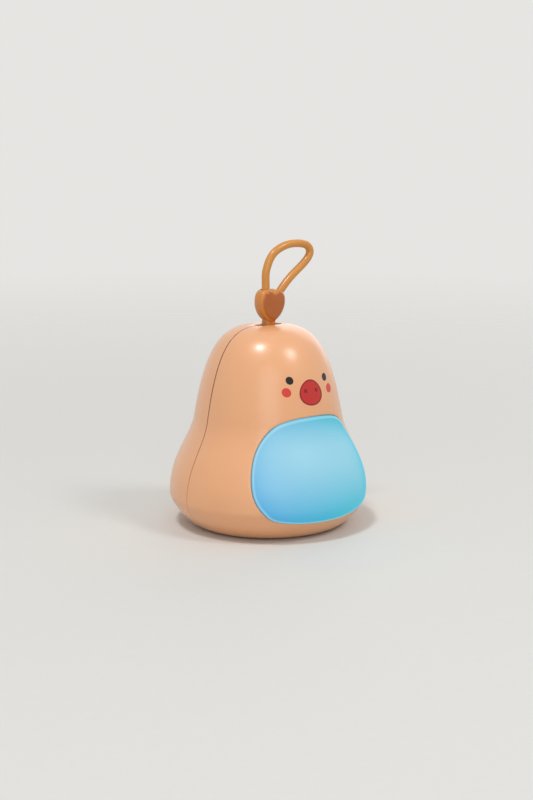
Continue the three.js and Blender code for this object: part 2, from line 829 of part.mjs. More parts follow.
// Clear rod with a collar that rests on the inside of the wall
function lightRod() {
  const start = boardBack + gap + chipThickness + gap;
  const rod = bar(rodRadius, -chargeX, portHeight, start, bodyRadius).intersect(pear(0));
  const collar = bar(rodFlange, -chargeX, portHeight, start, bodyRadius).intersect(pear(wall + gap));
  const behind = bar(rodFlange + gap, -chargeX, portHeight, 0, bodyRadius);
  return rod.add(collar.subtract(behind.intersect(pear(wall + gap + rodFlangeThickness))));
}

// Body of the push switch, with a well for its stem
function switchBody() {
  const back = boardBack + gap;
  const half = switchSize / 2;
  const body = block(-half, half, back, switchTop, buttonHeight - half, buttonHeight + half);
  const well = stemSink + buttonTravel + gap;
  return body.subtract(bar(stemRadius + gap, 0, buttonHeight, switchTop - well, bodyRadius));
}

// Stem of the push switch, just under the button
function switchStem() {
  const buttonUnder = buttonSeat - buttonFlangeThickness;
  return bar(stemRadius, 0, buttonHeight, switchTop - stemSink, buttonUnder - gap);
}

// Button: a cap that follows the housing's curve, with a flange behind the collar
function powerButton() {
  const under = buttonSeat - buttonFlangeThickness;
  const cap = bar(buttonRadius, 0, buttonHeight, under, bodyRadius, ringSides);
  const flange = bar(buttonFlangeRadius, 0, buttonHeight, under, buttonSeat, ringSides);
  return cap.intersect(pear(-buttonProud)).add(flange);
}

// Points of an arc in the front view
function arcPoints(x, z, radius, start, end, steps) {
  return Array.from({ length: steps + 1 }, (unused, i) => {
    const angle = start + (end - start) * i / steps;
    return new THREE.Vector2(x + radius * Math.cos(angle), z + radius * Math.sin(angle));
  });
}

// Centre of the wide arc that runs along one flank and touches the lobe and the tip from outside
function flankCentre(lobe, tip) {
  const toTip = tip.clone().sub(lobe);
  const span = toTip.length();
  const lobeReach = flankRadius - lobeRadius;
  const tipReach = flankRadius - tipRadius;
  const along = (lobeReach ** 2 - tipReach ** 2 + span ** 2) / (2 * span);
  const across = Math.sqrt(lobeReach ** 2 - along ** 2);
  const way = toTip.divideScalar(span);
  const side = new THREE.Vector2(way.y, -way.x);
  return lobe.clone().addScaledVector(way, along).addScaledVector(side, across);
}

// Outline of the heart moved inwards by an inset, its tip at the origin: lobes, flanks and tip as arcs,
// and a small arc round the valley that shrinks to a point as the inset does
function heartOutline(inset) {
  const lobe = new THREE.Vector2(heartWidth / 2 - lobeRadius, heartHeight - lobeRadius);
  const tip = new THREE.Vector2(0, tipRadius);
  const flank = flankCentre(lobe, tip);
  const lobeTouch = lobe.clone().sub(flank).angle();
  const tipTouch = tip.clone().sub(flank).angle() - 2 * Math.PI;
  const valleyRise = Math.sqrt(lobeRadius ** 2 - lobe.x ** 2);
  const valley = Math.atan2(valleyRise, -lobe.x);
  const right = [
    ...arcPoints(tip.x, tip.y, tipRadius - inset, -Math.PI / 2, tipTouch, tipSteps),
    ...arcPoints(flank.x, flank.y, flankRadius - inset, tipTouch, lobeTouch, flankSteps),
    ...arcPoints(lobe.x, lobe.y, lobeRadius - inset, lobeTouch, valley, lobeSteps),
    ...arcPoints(0, lobe.y + valleyRise, inset, valley + Math.PI, Math.PI * 3 / 2, valleySteps),
  ];
  const left = right.map((point) => new THREE.Vector2(-point.x, point.y)).reverse();
  return [...right, ...left];
}

// Closed skin over a row of outlines, each at its own place along Y, with both ends capped
function stackOutlines(outlines, places) {
  const count = outlines[0].length;
  const positions = outlines.flatMap((outline, j) => outline.flatMap(({ x, y }) => [x, places[j], y]));
  const index = [];
  for (let j = 0; j + 1 < outlines.length; j++) {
    for (let i = 0; i < count; i++) {
      const next = (i + 1) % count;
      const [a, b, c, d] = [j * count + i, j * count + next, (j + 1) * count + next, (j + 1) * count + i];
      index.push(a, c, b, a, d, c);
    }
  }
  const last = (outlines.length - 1) * count;
  for (const [a, b, c] of THREE.ShapeUtils.triangulateShape(outlines[0], [])) index.push(a, b, c);
  for (const [a, b, c] of THREE.ShapeUtils.triangulateShape(outlines.at(-1), [])) {
    index.push(last + a, last + c, last + b);
  }
  const geometry = new THREE.BufferGeometry();
  geometry.setAttribute('position', new THREE.Float32BufferAttribute(positions, 3));
  geometry.setIndex(index);
  return geometry;
}

// Solid heart with rounded edges, its tip above the pivot
function heart() {
  const outlines = [];
  const places = [];
  for (const side of [-1, 1]) {
    for (let i = 0; i <= heartEdgeSteps; i++) {
      const turn = (side < 0 ? i : heartEdgeSteps - i) / heartEdgeSteps * Math.PI / 2;
      outlines.push(heartOutline(heartEdge * (1 - Math.sin(turn))));
      places.push(side * (heartThickness / 2 - heartEdge * (1 - Math.cos(turn))));
    }
  }
  return solid(stackOutlines(outlines, places).translate(0, 0, heartRise));
}

// Lean of the loop's leg in a lobe: upright on the left side, outwards on the right
const legLean = (side) => side > 0 ? rightLegLean : 0;

// Centre of a lobe
const lobeCentre = (side) =>
  new THREE.Vector3(side * (heartWidth / 2 - lobeRadius), 0, heartRise + heartHeight - lobeRadius);

// Place on the middle line of a leg, at a distance from the centre of its lobe
function legPlace(side, distance) {
  const lean = THREE.MathUtils.degToRad(legLean(side));
  const way = new THREE.Vector3(Math.sin(lean), 0, Math.cos(lean));
  return lobeCentre(side).addScaledVector(way, distance);
}

// Shackle: the heart, its flat stem, the eye on the pin and a socket through each lobe for the loop
function heartShackle() {
  const half = stemThickness / 2;
  const stem = block(-stemWidth / 2, stemWidth / 2, -half, half, 0, heartRise + tipRadius);
  const eye = bar(eyeRadius, 0, 0, -half, half, ringSides);
  let shackle = heart().add(stem).add(eye);
  shackle = shackle.subtract(bar(pinRadius + gap, 0, 0, -heartThickness, heartThickness));
  for (const side of [-1, 1]) {
    const socket = post(loopRadius + gap, 0, 0, lobeRadius - legDepth - gap, lobeRadius + overrun);
    shackle = shackle.subtract(socket.rotate([0, legLean(side), 0]).translate(lobeCentre(side).toArray()));
  }
  return shackle;
}

// Middle line of the loop: shares of its width from the left side and of its height over the lobes
const loopRouteShares = [
  [0.012, 0.111], [0.002, 0.232], [0.002, 0.357], [0.027, 0.488], [0.076, 0.638], [0.166, 0.783],
  [0.322, 0.903], [0.499, 0.976], [0.688, 1], [0.852, 0.986], [0.93, 0.953], [0.985, 0.885],
  [1, 0.8], [0.972, 0.712], [0.918, 0.628], [0.803, 0.498], [0.635, 0.329], [0.495, 0.164],
];
const loopLeftShare = 0.129;

// Loop: one moulded round cord, its two ends standing in the heart's lobes
function carryLoop() {
  const top = heartRise + heartHeight;
  const leg = [lobeRadius - legDepth, lobeRadius - legDepth / 2, lobeRadius - gap];
  const route = loopRouteShares.map(([across, up]) =>
    new THREE.Vector3((across - loopLeftShare) * loopWidth, 0, top + up * loopHeight));
  const path = new THREE.CatmullRomCurve3([
    ...leg.map((distance) => legPlace(-1, distance)),
    ...route,
    ...leg.map((distance) => legPlace(1, distance)).reverse(),
  ], false, 'centripetal');
  return tube(path, loopRadius, loopSides, loopSteps);
}

// Round tube along a path, with flat ends
function tube(path, radius, sides, steps) {
  const section = new THREE.Shape();
  section.absarc(0, 0, radius, 0, 2 * Math.PI);
  const points = section.getSpacedPoints(sides).slice(0, sides);
  const geometry = new THREE.ExtrudeGeometry(new THREE.Shape(points), { steps, extrudePath: path });
  return solid(geometry);
}

// Cross pin of the strap
const strapPin = () => bar(pinRadius, 0, pivotHeight, -pinLength / 2, pinLength / 2);

// Lead from one end of the cell to the main board
function batteryLead(side) {
  const cellEnd = batteryLength / 2;
  const past = cellEnd + gap;
  const clear = past + 2 * wireRadius;
  const endY = boardFront - gap;
  const run = new THREE.CatmullRomCurve3([
    new THREE.Vector3(side * past, batteryY, batteryHeight),
    new THREE.Vector3(side * clear, batteryY + wireRadius, batteryHeight),
    new THREE.Vector3(side * clear, batteryY + batteryRadius, batteryHeight),
    new THREE.Vector3(side * (cellEnd + padX) / 2, (batteryY + batteryRadius + endY) / 2,
      (batteryHeight + padHeight) / 2),
    new THREE.Vector3(side * padX, endY - 4 * wireRadius, padHeight),
    new THREE.Vector3(side * padX, endY, padHeight),
  ], false, 'centripetal');
  return tube(run, wireRadius, wireSides, wireSteps);
}

// Lead from the light board through the tray and over the cell to the main board
function lightLead(side) {
  const x = side * leadX;
  const face = -ledBoardFront - gap;
  const boardEdge = ledBoardMid + ledBoardHeight / 2;
  const bow = leadHoleRadius - wireRadius;
  const overCell = batteryHeight + clipReach + leadHoleRadius;
  const endY = boardFront - gap;
  const run = new THREE.CatmullRomCurve3([
    new THREE.Vector3(x, face, boardEdge - bow),
    new THREE.Vector3(x, face - wireRadius, boardEdge - bow),
    new THREE.Vector3(x, face - bow, boardEdge),
    new THREE.Vector3(x, face, leadHoleHeight - wireRadius),
    new THREE.Vector3(x, -trayBack, leadHoleHeight),
    new THREE.Vector3(x, -trayBack / 2, leadHoleHeight - wireRadius),
    new THREE.Vector3(x, batteryY, overCell),
    new THREE.Vector3(x, (batteryY + endY) / 2, (overCell + leadPadHeight) / 2),
    new THREE.Vector3(x, endY - 4 * wireRadius, leadPadHeight),
    new THREE.Vector3(x, endY, leadPadHeight),
  ], false, 'centripetal');
  return tube(run, wireRadius, wireSides, wireSteps);
}

addPiece('front_shell', frontShell(), peachPlastic);
addPiece('rear_shell', rearShell(), peachPlastic);
addPiece('light_panel', lightPanel(), milkyPanel);
addPiece('reflector', reflector(), whitePlastic);
addPiece('led_board', ledBoard(), boardWhite);
for (let row = 0; row < ledRows; row++) {
  for (let column = 0; column < ledColumns; column++) {
    const x = (column - (ledColumns - 1) / 2) * ledPitchX;
    const z = ledBoardMid + (row - (ledRows - 1) / 2) * ledPitchZ;
    addPiece(`led_${row * ledColumns + column + 1}`, ledPackage(x, z), lampYellow);
  }
}
trayScrewPlaces().forEach(([x, z], i) => {
  addScrew(`tray_screw_${i + 1}`, trayFloor + trayScrewLength - gap, x, -trayBack + gap + headHeight, z, 'front');
});
ledScrewPlaces.forEach(([x, z], i) => {
  addScrew(`led_screw_${i + 1}`, ledScrewLength, x, -ledBoardFront - gap - headHeight, z, 'rear');
});

addPiece('base_cover', baseCover(), peachPlastic);
coverScrewPlaces().forEach(([x, y], i) => {
  addScrew(`base_screw_${i + 1}`, coverScrewLength, x, y, footHeight, 'up');
});
footPlaces().forEach(([x, y], i) => addPiece(`foot_${i + 1}`, foot(x, y), greyRubber));

addPiece('battery_cell', batteryCell(), cellBlue);
addPiece('battery_clip', batteryClip(), blackPlastic);
[-1, 1].forEach((side, i) => {
  const head = coverTop + clipPostHeight + gap + clipThickness + gap + headHeight;
  addScrew(`clip_screw_${i + 1}`, clipScrewLength, 0, clipScrewY(side), head, 'down');
});
addPiece('battery_lead_red', batteryLead(1), redWire);
addPiece('battery_lead_black', batteryLead(-1), blackWire);
addPiece('light_lead_red', lightLead(1), redWire);
addPiece('light_lead_white', lightLead(-1), whiteWire);

addPiece('main_board', mainBoard(), boardGreen);
boardScrewPlaces.forEach(([x, z], i) => {
  addScrew(`board_screw_${i + 1}`, boardScrewLength - gap, x, boardFront - gap - headHeight, z, 'rear');
});
addPiece('usb_socket', usbSocket(), nickel);
addPiece('charge_chip', chargeChip(), boardWhite);
addPiece('charge_light_rod', lightRod(), clearRod);
addPiece('switch_body', switchBody(), blackPlastic);
addPiece('switch_stem', switchStem(), blackPlastic);
addPiece('power_button', powerButton(), peachPlastic);

addPiece('strap_pin', strapPin(), steel);
const strap = new THREE.Group();
strap.position.set(0, 0, pivotHeight);
strap.rotation.y = THREE.MathUtils.degToRad(strapLean);
nightLight.add(strap);
addPiece('heart_shackle', heartShackle(), amberPlastic, strap);
addPiece('carry_loop', carryLoop(), amberSilicone, strap);

export default nightLight;
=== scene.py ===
import math

import bmesh
import bpy
import numpy as np
from mathutils import Matrix, Vector
from mathutils.geometry import delaunay_2d_cdt


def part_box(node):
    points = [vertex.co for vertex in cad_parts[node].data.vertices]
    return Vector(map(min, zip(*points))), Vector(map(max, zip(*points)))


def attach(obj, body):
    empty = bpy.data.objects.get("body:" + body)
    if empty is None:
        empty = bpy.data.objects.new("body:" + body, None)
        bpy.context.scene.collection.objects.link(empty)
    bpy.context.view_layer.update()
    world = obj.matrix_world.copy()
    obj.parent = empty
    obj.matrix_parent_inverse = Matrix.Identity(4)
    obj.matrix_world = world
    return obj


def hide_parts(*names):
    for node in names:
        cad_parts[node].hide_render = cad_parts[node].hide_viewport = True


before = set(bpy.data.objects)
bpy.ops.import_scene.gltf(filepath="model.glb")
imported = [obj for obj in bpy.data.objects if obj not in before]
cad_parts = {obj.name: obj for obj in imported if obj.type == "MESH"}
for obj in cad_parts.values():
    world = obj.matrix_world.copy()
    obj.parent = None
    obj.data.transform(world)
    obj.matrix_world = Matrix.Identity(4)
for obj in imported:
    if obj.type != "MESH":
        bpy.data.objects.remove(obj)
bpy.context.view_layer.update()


# The camera stands in front of the lamp, to its left side and a little above, where the photograph was
# taken from. Its aim and distance come from the outline of the body in the photograph.
mm = 0.001
view_turn, view_rise = math.radians(-36.8), math.radians(11.0)
view_distance, aim_aside, aim_height = 699.1 * mm, -0.71 * mm, 56.16 * mm
focal_pixels, picture_height_pixels = 1541, 800
sensor = 36.0

aside = Vector((math.cos(view_turn), math.sin(view_turn), 0))
ahead = Vector((-math.sin(view_turn) * math.cos(view_rise), math.cos(view_turn) * math.cos(view_rise),
                -math.sin(view_rise)))
camera = bpy.data.objects.new("camera", bpy.data.cameras.new("camera"))
camera.data.sensor_fit = "VERTICAL"
camera.data.sensor_height = sensor
camera.data.lens = focal_pixels * sensor / picture_height_pixels
stand = aside * aim_aside + Vector((0, 0, aim_height)) - ahead * view_distance
axes = Matrix((aside, aside.cross(ahead), -ahead)).transposed().to_4x4()
camera.matrix_world = Matrix.Translation(stand) @ axes
bpy.context.collection.objects.link(camera)
bpy.context.scene.camera = camera


# The floor is a plain pale sheet that fades into an equally pale room. Two soft lamps hang over the
# object, where the two gloss spots on the crown ask for them, and large ones fill from front and rear.
class Wire:
    """A value in a material's node tree. An expression on wires adds its Math nodes."""

    def __init__(self, tree, socket=None):
        self.tree, self.socket = tree, socket

    def plug(self, node, inputs):
        """Gives a node's sockets their values, or links wires to them."""
        for name, value in inputs.items():
            if isinstance(value, Wire):
                self.tree.links.new(value.socket, node.inputs[name])
            else:
                node.inputs[name].default_value = value

    def node(self, kind, settings=None, inputs=None, output=0):
        """Adds a node: its settings are set first, then its sockets get values or wires."""
        node = self.tree.nodes.new("ShaderNode" + kind)
        for name, value in (settings or {}).items():
            setattr(node, name, value)
        self.plug(node, inputs or {})
        return Wire(self.tree, node.outputs[output])

    def maths(self, operation, *others, clamp=False):
        """A Math node of this value and others."""
        settings = {"operation": operation, "use_clamp": clamp}
        return self.node("Math", settings, dict(enumerate((self, *others))))

    def __add__(self, other):
        return self.maths("ADD", other)

    def __sub__(self, other):
        return self.maths("SUBTRACT", other)

    def __rsub__(self, other):
        return self.node("Math", {"operation": "SUBTRACT"}, {0: other, 1: self})

    def __mul__(self, other):
        return self.maths("MULTIPLY", other)

    def __truediv__(self, other):
        return self.maths("DIVIDE", other)

    def __pow__(self, power):
        return self.maths("POWER", power)

    __radd__, __rmul__ = __add__, __mul__

    def clamped(self, more=0.0):
        """The value, with a number added, held between 0 and 1."""
        return self.maths("ADD", more, clamp=True)

    def under(self, limit, soft):
        """1 where the value is under a limit, 0 where it is over, with a soft edge."""
        return ((limit - self) / soft).clamped(0.5)

    def axes(self):
        """The three parts of a vector."""
        split = self.node("SeparateXYZ", inputs={0: self})
        return [Wire(self.tree, output) for output in split.socket.node.outputs]

    def noise(self, size, detail, stretch=(1, 1, 1)):
        """Noise from 0 to 1 whose features have about the given size, in metres."""
        place = self.node("Mapping", inputs={"Vector": self, "Scale": stretch})
        return place.node("TexNoise", inputs={"Vector": place, "Scale": 1 / size, "Detail": detail})

    def blend(self, low, high):
        """Mixes two colours by this value."""
        return self.node("Mix", {"data_type": "RGBA"}, {0: self, 6: low, 7: high}, output=2)

    def scaled(self, share):
        """A colour times a number."""
        return self.node("VectorMath", {"operation": "SCALE"}, {0: self, "Scale": share})

    def bump(self, depth, strength):
        """A normal from this value as a height, which is depth metres from 0 to 1."""
        return self.node("Bump", inputs={"Strength": strength, "Distance": depth, "Height": self})


def paint(red, green, blue):
    """The linear colour of an sRGB one that is written from 0 to 255."""
    shares = np.array([red, green, blue]) / 255
    linear = np.where(shares <= 0.04045, shares / 12.92, ((shares + 0.055) / 1.055) ** 2.4)
    return (*linear.tolist(), 1.0)


def finish(name, varied, **fixed):
    """A material: fixed values go on the shader's sockets, and varied(place) gives the wires of others."""
    material = bpy.data.materials.new(name)
    material.use_nodes = True
    wire = Wire(material.node_tree)
    values = {key.replace("_", " "): value for key, value in fixed.items()}
    values.update(varied(wire.node("TexCoord", output="Object")))
    wire.plug(material.node_tree.nodes["Principled BSDF"], values)
    return material


floor_pale, floor_deep = paint(219, 218, 214), paint(216, 215, 211)
room_tone, room_light = (0.79, 0.783, 0.765, 1.0), (0.5, 0.5, 0.5, 1.0)
floor_reach, floor_clear = 1.1, 0.2
lamp_target = Vector((0, 0, 0.06))


def floor_finish(place):
    """Matt paper that fades out, from a clear distance on, into the room of the same tone."""
    speck = place.noise(4 * mm, 3)
    away = place.node("VectorMath", {"operation": "LENGTH"}, {0: place}, output=1)
    return {
        "Base Color": speck.blend(floor_deep, floor_pale),
        "Normal": speck.bump(0.02 * mm, 0.3),
        "Alpha": (1 - ((away - floor_clear) / (floor_reach - floor_clear)).clamped()) ** 1.5,
    }


bpy.ops.mesh.primitive_circle_add(vertices=64, radius=floor_reach, fill_type="NGON")
floor = bpy.context.object
floor.name = "floor"
floor.data.materials.append(finish("floor paper", floor_finish, Roughness=0.7, Specular_IOR_Level=0.2))

world = bpy.data.worlds.new("room")
bpy.context.scene.world = world
world.use_nodes = True
room = Wire(world.node_tree)
shown = room.node("LightPath", output="Is Camera Ray")
for ray in ("Is Glossy Ray", "Is Transmission Ray"):
    shown = shown.maths("MAXIMUM", room.node("LightPath", output=ray))
room.plug(world.node_tree.nodes["Background"], {"Color": shown.blend(room_light, room_tone)})
bpy.context.scene.view_settings.view_transform = "Standard"

for name, where, size, watts in (
        ("left overhead lamp", (-0.667, -0.239, 1.747), 0.26, 12),
        ("right overhead lamp", (0.509, -1.12, 1.412), 0.4, 6.6),
        ("front fill", (-1.6, -2.3, 1.1), 1.6, 12),
        ("rear fill", (2.3, 1.6, 1.1), 2.2, 10)):
    light = bpy.data.lights.new(name, "AREA")
    light.size, light.energy = size, watts
    holder = bpy.data.objects.new(name, light)
    holder.location = where
    holder.rotation_euler = (lamp_target - Vector(where)).to_track_quat("-Z", "Y").to_euler()
    bpy.context.collection.objects.link(holder)


# The housing's form is a pear, turned round an upright axis: a flat ring on the base, a full belly, a
# waist and a round crown. Both moulded shells are cut from it, so its formula stands before them.
base_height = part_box("rear_shell")[0].z
cover_gap, base_edge = 0.3 * mm, 0.4 * mm
recess_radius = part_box("base_cover")[1].x + cover_gap
pear_stops = np.array([[33, 0], [45, 14], [33.5, 49.6], [0, 90.3]]) * mm
pear_leads = np.array([[3.84, 4.2], [16.376, 11.748], [40.7, 16.08]]) * mm
neck_lean = 0.165
base_radius, neck_height = pear_stops[0, 0], pear_stops[2, 1]
dimple_reach, dimple_depth = np.array([10.5, 5.5]) * mm, 0.6 * mm
sharp_angle = math.radians(34)


def unit(vectors):
    """Vectors brought to the length 1."""
    return vectors / np.linalg.norm(vectors, axis=-1, keepdims=True)


def polar(angle):
    """Vectors of the length 1 at angles from the first axis."""
    return np.stack([np.cos(angle), np.sin(angle)], -1)


def running(steps):
    """The sums of steps so far, from 0."""
    return np.concatenate([[0], np.cumsum(steps)])


def curve(stops, headings, leads, steps=400):
    """Cubic Bezier pieces from stop to stop, without the last stop. A piece is the sum of four points in
    the shares (1-t)^3, 3t(1-t)^2 and so on: its stops, and between them one on each stop's heading, as
    far off as the lead says."""
    t = np.linspace(0, 1, steps, endpoint=False)[:, None]
    ways = polar(np.array(headings))
    return np.vstack([(1 - t) ** 3 * a + 3 * t * (1 - t) ** 2 * (a + out * leave)
                      + 3 * t ** 2 * (1 - t) * (b - back * arrive) + t ** 3 * b
                      for a, b, leave, arrive, (out, back) in zip(stops, stops[1:], ways, ways[1:], leads)])


base_ring = np.array([(recess_radius + base_edge, 0), (base_radius, 0)])
outline = np.vstack([curve(base_ring, [0, 0], [(0, 0)], 20),
                     curve(pear_stops, [0, math.pi / 2, math.pi / 2 + neck_lean, math.pi], pear_leads),
                     pear_stops[-1:]])
outline[:, 1] += base_height
profile_steps = np.hypot(*np.diff(outline, axis=0).T)
along = running(profile_steps)
slope = unit(np.gradient(outline, along, axis=0))
conformal = np.exp(-running(profile_steps / (outline[1:, 0] + outline[:-1, 0]) * 2))


def radius_at(rise):
    """The pear's radius at a length along its profile."""
    return np.interp(rise, along, outline[:, 0])


def on_housing(turn, rise, lift=0.0):
    """Points, normals and the two tangents of the pear. A point is the profile at the length rise along it,
    swung round the axis by turn from the front; lift moves it out along the normal. Round the slot the
    surface sinks by a depth times (1 - q)^2, where q is the squared share of the dimple's ellipse."""
    radius, height = radius_at(rise), np.interp(rise, along, outline[:, 1])
    out, up = np.interp(rise, along, slope[:, 1]), -np.interp(rise, along, slope[:, 0])
    sine, cosine = np.sin(turn), np.cos(turn)
    points = np.stack([radius * sine, -radius * cosine, height], -1)
    normals = unit(np.stack([out * sine, -out * cosine, up], -1))
    across = np.stack([cosine, sine, 0 * turn], -1)
    q = ((points[:, :2] / dimple_reach) ** 2).sum(1)
    sink = np.where(height > neck_height, dimple_depth * np.clip(1 - q, 0, 1) ** 2, 0)
    return points + normals * (lift - sink)[:, None], normals, across, np.cross(normals, across)


def rise_at_height(height):
    """Length along the profile where the wall passes a height."""
    wall_part = along > 0.2 * base_radius
    return np.interp(height, outline[wall_part, 1], along[wall_part])


def rise_at_radius(radius):
    """Length along the profile where the crown has a radius."""
    crown_part = outline[:, 1] > neck_height + base_height
    return np.interp(-radius, -outline[crown_part, 0], along[crown_part])


def flat_map(turn, rise):
    """The surface laid flat without changing its angles: the pole is the middle, and the distance from it
    is e to the power of minus the length along the profile, each piece divided by its radius."""
    reach = np.interp(rise, along, conformal)
    return np.stack([reach * np.sin(turn), -reach * np.cos(turn)], -1)


def void_way(points, normals):
    """The way in the surface to the right side of a closed loop, which is the void's."""
    return unit(np.cross(np.roll(points, -1, 0) - np.roll(points, 1, 0), normals))


def traced(drawing, edge, side):
    """The loop on the pear that the front view shows as a drawing, on the rear for side 1. It is moved over
    the surface to its left, away from the void, by the round edge that it gets."""
    rise = rise_at_height(drawing[:, 1])
    turn = np.arcsin(np.clip(drawing[:, 0] / radius_at(rise), -1, 1))
    turn = turn if side < 0 else math.pi - turn
    points, normals, across, upward = on_housing(turn, rise)
    move = -edge * void_way(points, normals)
    return turn + (move * across).sum(1) / radius_at(rise), rise + (move * upward).sum(1)


def in_parts(work, points):
    """The results of some work on points, a few thousand at a time to spare memory."""
    return np.concatenate([work(part) for part in np.array_split(points, max(1, len(points) // 3000))])


def contains(polygon, points):
    """Whether each point of the flat map is inside a closed polygon, by counting the edges to its right."""
    (ax, ay), (bx, by) = polygon.T, np.roll(polygon, -1, 0).T
    lean = (bx - ax) / np.where(by == ay, 1e-12, by - ay)

    def odd(part):
        x, y = part[:, :1], part[:, 1:]
        return np.count_nonzero(((ay > y) != (by > y)) & (x < ax + (y - ay) * lean), axis=1) % 2 == 1

    return in_parts(odd, points)


def nearest(points, others):
    """Distance from each point to the nearest of the others."""
    return in_parts(lambda part: np.linalg.norm(part[:, None] - others, axis=2).min(1), points)


def plate(loops, rims, cell, inner_surface, lift=lambda turn, rise: 0.0):
    """A curved plate cut from the pear. Its outer face is triangles between its loops, with points in rings
    a cell apart and none nearer to a loop than 0.6 cells; its inner face has the same triangles at the
    places that inner_surface gives; and each rim is the rows of points from a loop's outer edge to its
    inner one."""
    polygons = [flat_map(*loop) for loop in loops]

    def solid(flat):
        return contains(polygons[0], flat) & ~np.any([contains(hole, flat) for hole in polygons[1:]], axis=0)

    edge = np.concatenate(loops, axis=1)
    start, span = edge[0].min(), np.ptp(edge[0])
    fill = []
    for number, level in enumerate(np.arange(edge[1].min() + cell / 2, edge[1].max(), cell)):
        count = max(3, int(span * radius_at(level) / cell))
        fill.append((start + (np.arange(count) + number % 2 / 2) * span / count, np.full(count, level)))
    fill = np.concatenate(fill, axis=1)
    fill = fill[:, solid(flat_map(*fill))]
    fill = fill[:, nearest(on_housing(*fill)[0], on_housing(*edge)[0]) > 0.6 * cell]
    turn, rise = np.concatenate([edge, fill], axis=1)
    flat = flat_map(turn, rise)
    rings = np.split(np.arange(edge.shape[1]), np.cumsum([len(polygon) for polygon in polygons])[:-1])
    edges = [pair for ring in rings for pair in zip(ring.tolist(), np.roll(ring, -1).tolist())]
    found = delaunay_2d_cdt([Vector(point) for point in flat.tolist()], edges, [], 0, 1e-9)
    if len(found[0]) != len(flat):
        raise ValueError("the plate's loops touch each other")
    triangles = np.array(found[2])
    triangles = triangles[solid(flat[triangles].mean(1))]
    vertices = [on_housing(turn, rise, lift(turn, rise))[0], inner_surface(turn, rise)]
    faces = [triangles, triangles[:, ::-1] + len(turn)]
    total = 2 * len(turn)
    for loop, ring, rim_rows in zip(loops, rings, rims):
        points, normals, _, _ = on_housing(*loop, lift(*loop))
        rows = rim_rows(points, normals, void_way(points, normals))
        between = total + np.arange(len(rows) * len(ring)).reshape(-1, len(ring))
        levels = [ring, *between, len(turn) + ring]
        faces += [np.stack([upper, lower, np.roll(lower, -1), np.roll(upper, -1)], -1)
                  for upper, lower in zip(levels, levels[1:])]
        vertices += rows
        total += between.size
    return np.vstack(vertices), faces


def raw_mesh(name, vertices, faces):
    """A mesh from an array of points and several arrays of faces."""
    mesh = bpy.data.meshes.new(name)
    mesh.from_pydata(vertices.tolist(), [], [face for group in faces for face in group.tolist()])
    mesh.validate()
    return mesh


def shade(mesh):
    """Shades a mesh smooth, but not across its sharp edges."""
    mesh.shade_smooth()
    mesh.set_sharp_from_angle(angle=sharp_angle)


def add_piece(name, shape, material, node, body="housing"):
    """Makes a piece from points and faces, shades it smooth up to an angle and gives it its part."""
    mesh = raw_mesh(name, *shape)
    shade(mesh)
    mesh.materials.append(material)
    piece = bpy.data.objects.new(name, mesh)
    bpy.context.collection.objects.link(piece)
    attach(piece, body)
    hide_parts(node)
    return piece


def quarter(radius, steps):
    """Steps along a quarter round of a radius: the sine of the angle, and 1 less its cosine."""
    angle = np.linspace(0, math.pi / 2, steps)
    return radius * np.stack([np.sin(angle), 1 - np.cos(angle)], -1)


def rim(edge, *steps, turns=4):
    """Rim of a loop: a quarter round of the radius edge down from the surface, and then a row for each
    step, which is how far it lies in the void and how deep, or else the row's own points."""
    steps = [(edge * out, edge * deep) for out, deep in quarter(1, turns + 1)[1:]] + list(steps)

    def rows(points, normals, void):
        return [points + void * step[0] - normals * step[1] if isinstance(step, tuple) else step
                for step in steps]

    return rows


# The front shell is the front half of the pear, moulded in satin peach plastic 2.2 mm thick. The window
# for the panel is cut through it, and a tongue runs along its split edge to find the rear shell.
wall = 2.2 * mm
split_gap, seam_edge = 0.3 * mm, 0.3 * mm
slot_half_length, slot_half_width, slot_edge = 6.7 * mm, 2.3 * mm, 0.5 * mm
tongue_depth, tongue_reach, groove_depth = 1.3 * mm, 1.5 * mm, 1.0 * mm
ledge_rise, ledge_top, ledge_reach = 2.7 * mm, 4.5 * mm, 7.5 * mm
shell_cell, loop_step = 0.85 * mm, 0.5 * mm


def half_loop(side):
    """Loop round one half of the pear, with the solid on its left: up one split edge, along the slot, down
    the other split edge and back along the base. The number with each point is 0 on the split edge, 1 at
    the slot and 2 at the base."""
    plane = split_gap / 2 + seam_edge
    reach = slot_half_width + slot_edge
    straight = slot_half_length - slot_half_width
    bend = np.linspace(math.asin(plane / reach), math.pi / 2, 12)
    end = (straight, 0) + reach * polar(bend)
    flank = np.linspace(straight, -straight, 22)[1:-1]
    slot = np.vstack([end, np.stack([flank, np.full_like(flank, reach)], -1), (end * (-1, 1))[::-1]])
    slot_rise = rise_at_radius(np.hypot(*slot.T))
    split_rise = np.arange(loop_step, slot_rise[0] - loop_step / 2, loop_step)
    split_turn = np.arccos(plane / radius_at(split_rise))
    widest = math.acos(plane / outline[0, 0])
    base_turn = np.linspace(-widest, widest, int(2 * widest * base_radius / loop_step))
    turn = [split_turn, np.arctan2(*slot.T), -split_turn[::-1], base_turn]
    rise = [split_rise, slot_rise, split_rise[::-1], 0 * base_turn]
    kind = np.repeat([0, 1, 0, 2], [len(part) for part in turn])
    return (np.concatenate(turn) + (math.pi if side > 0 else 0), np.concatenate(rise)), kind


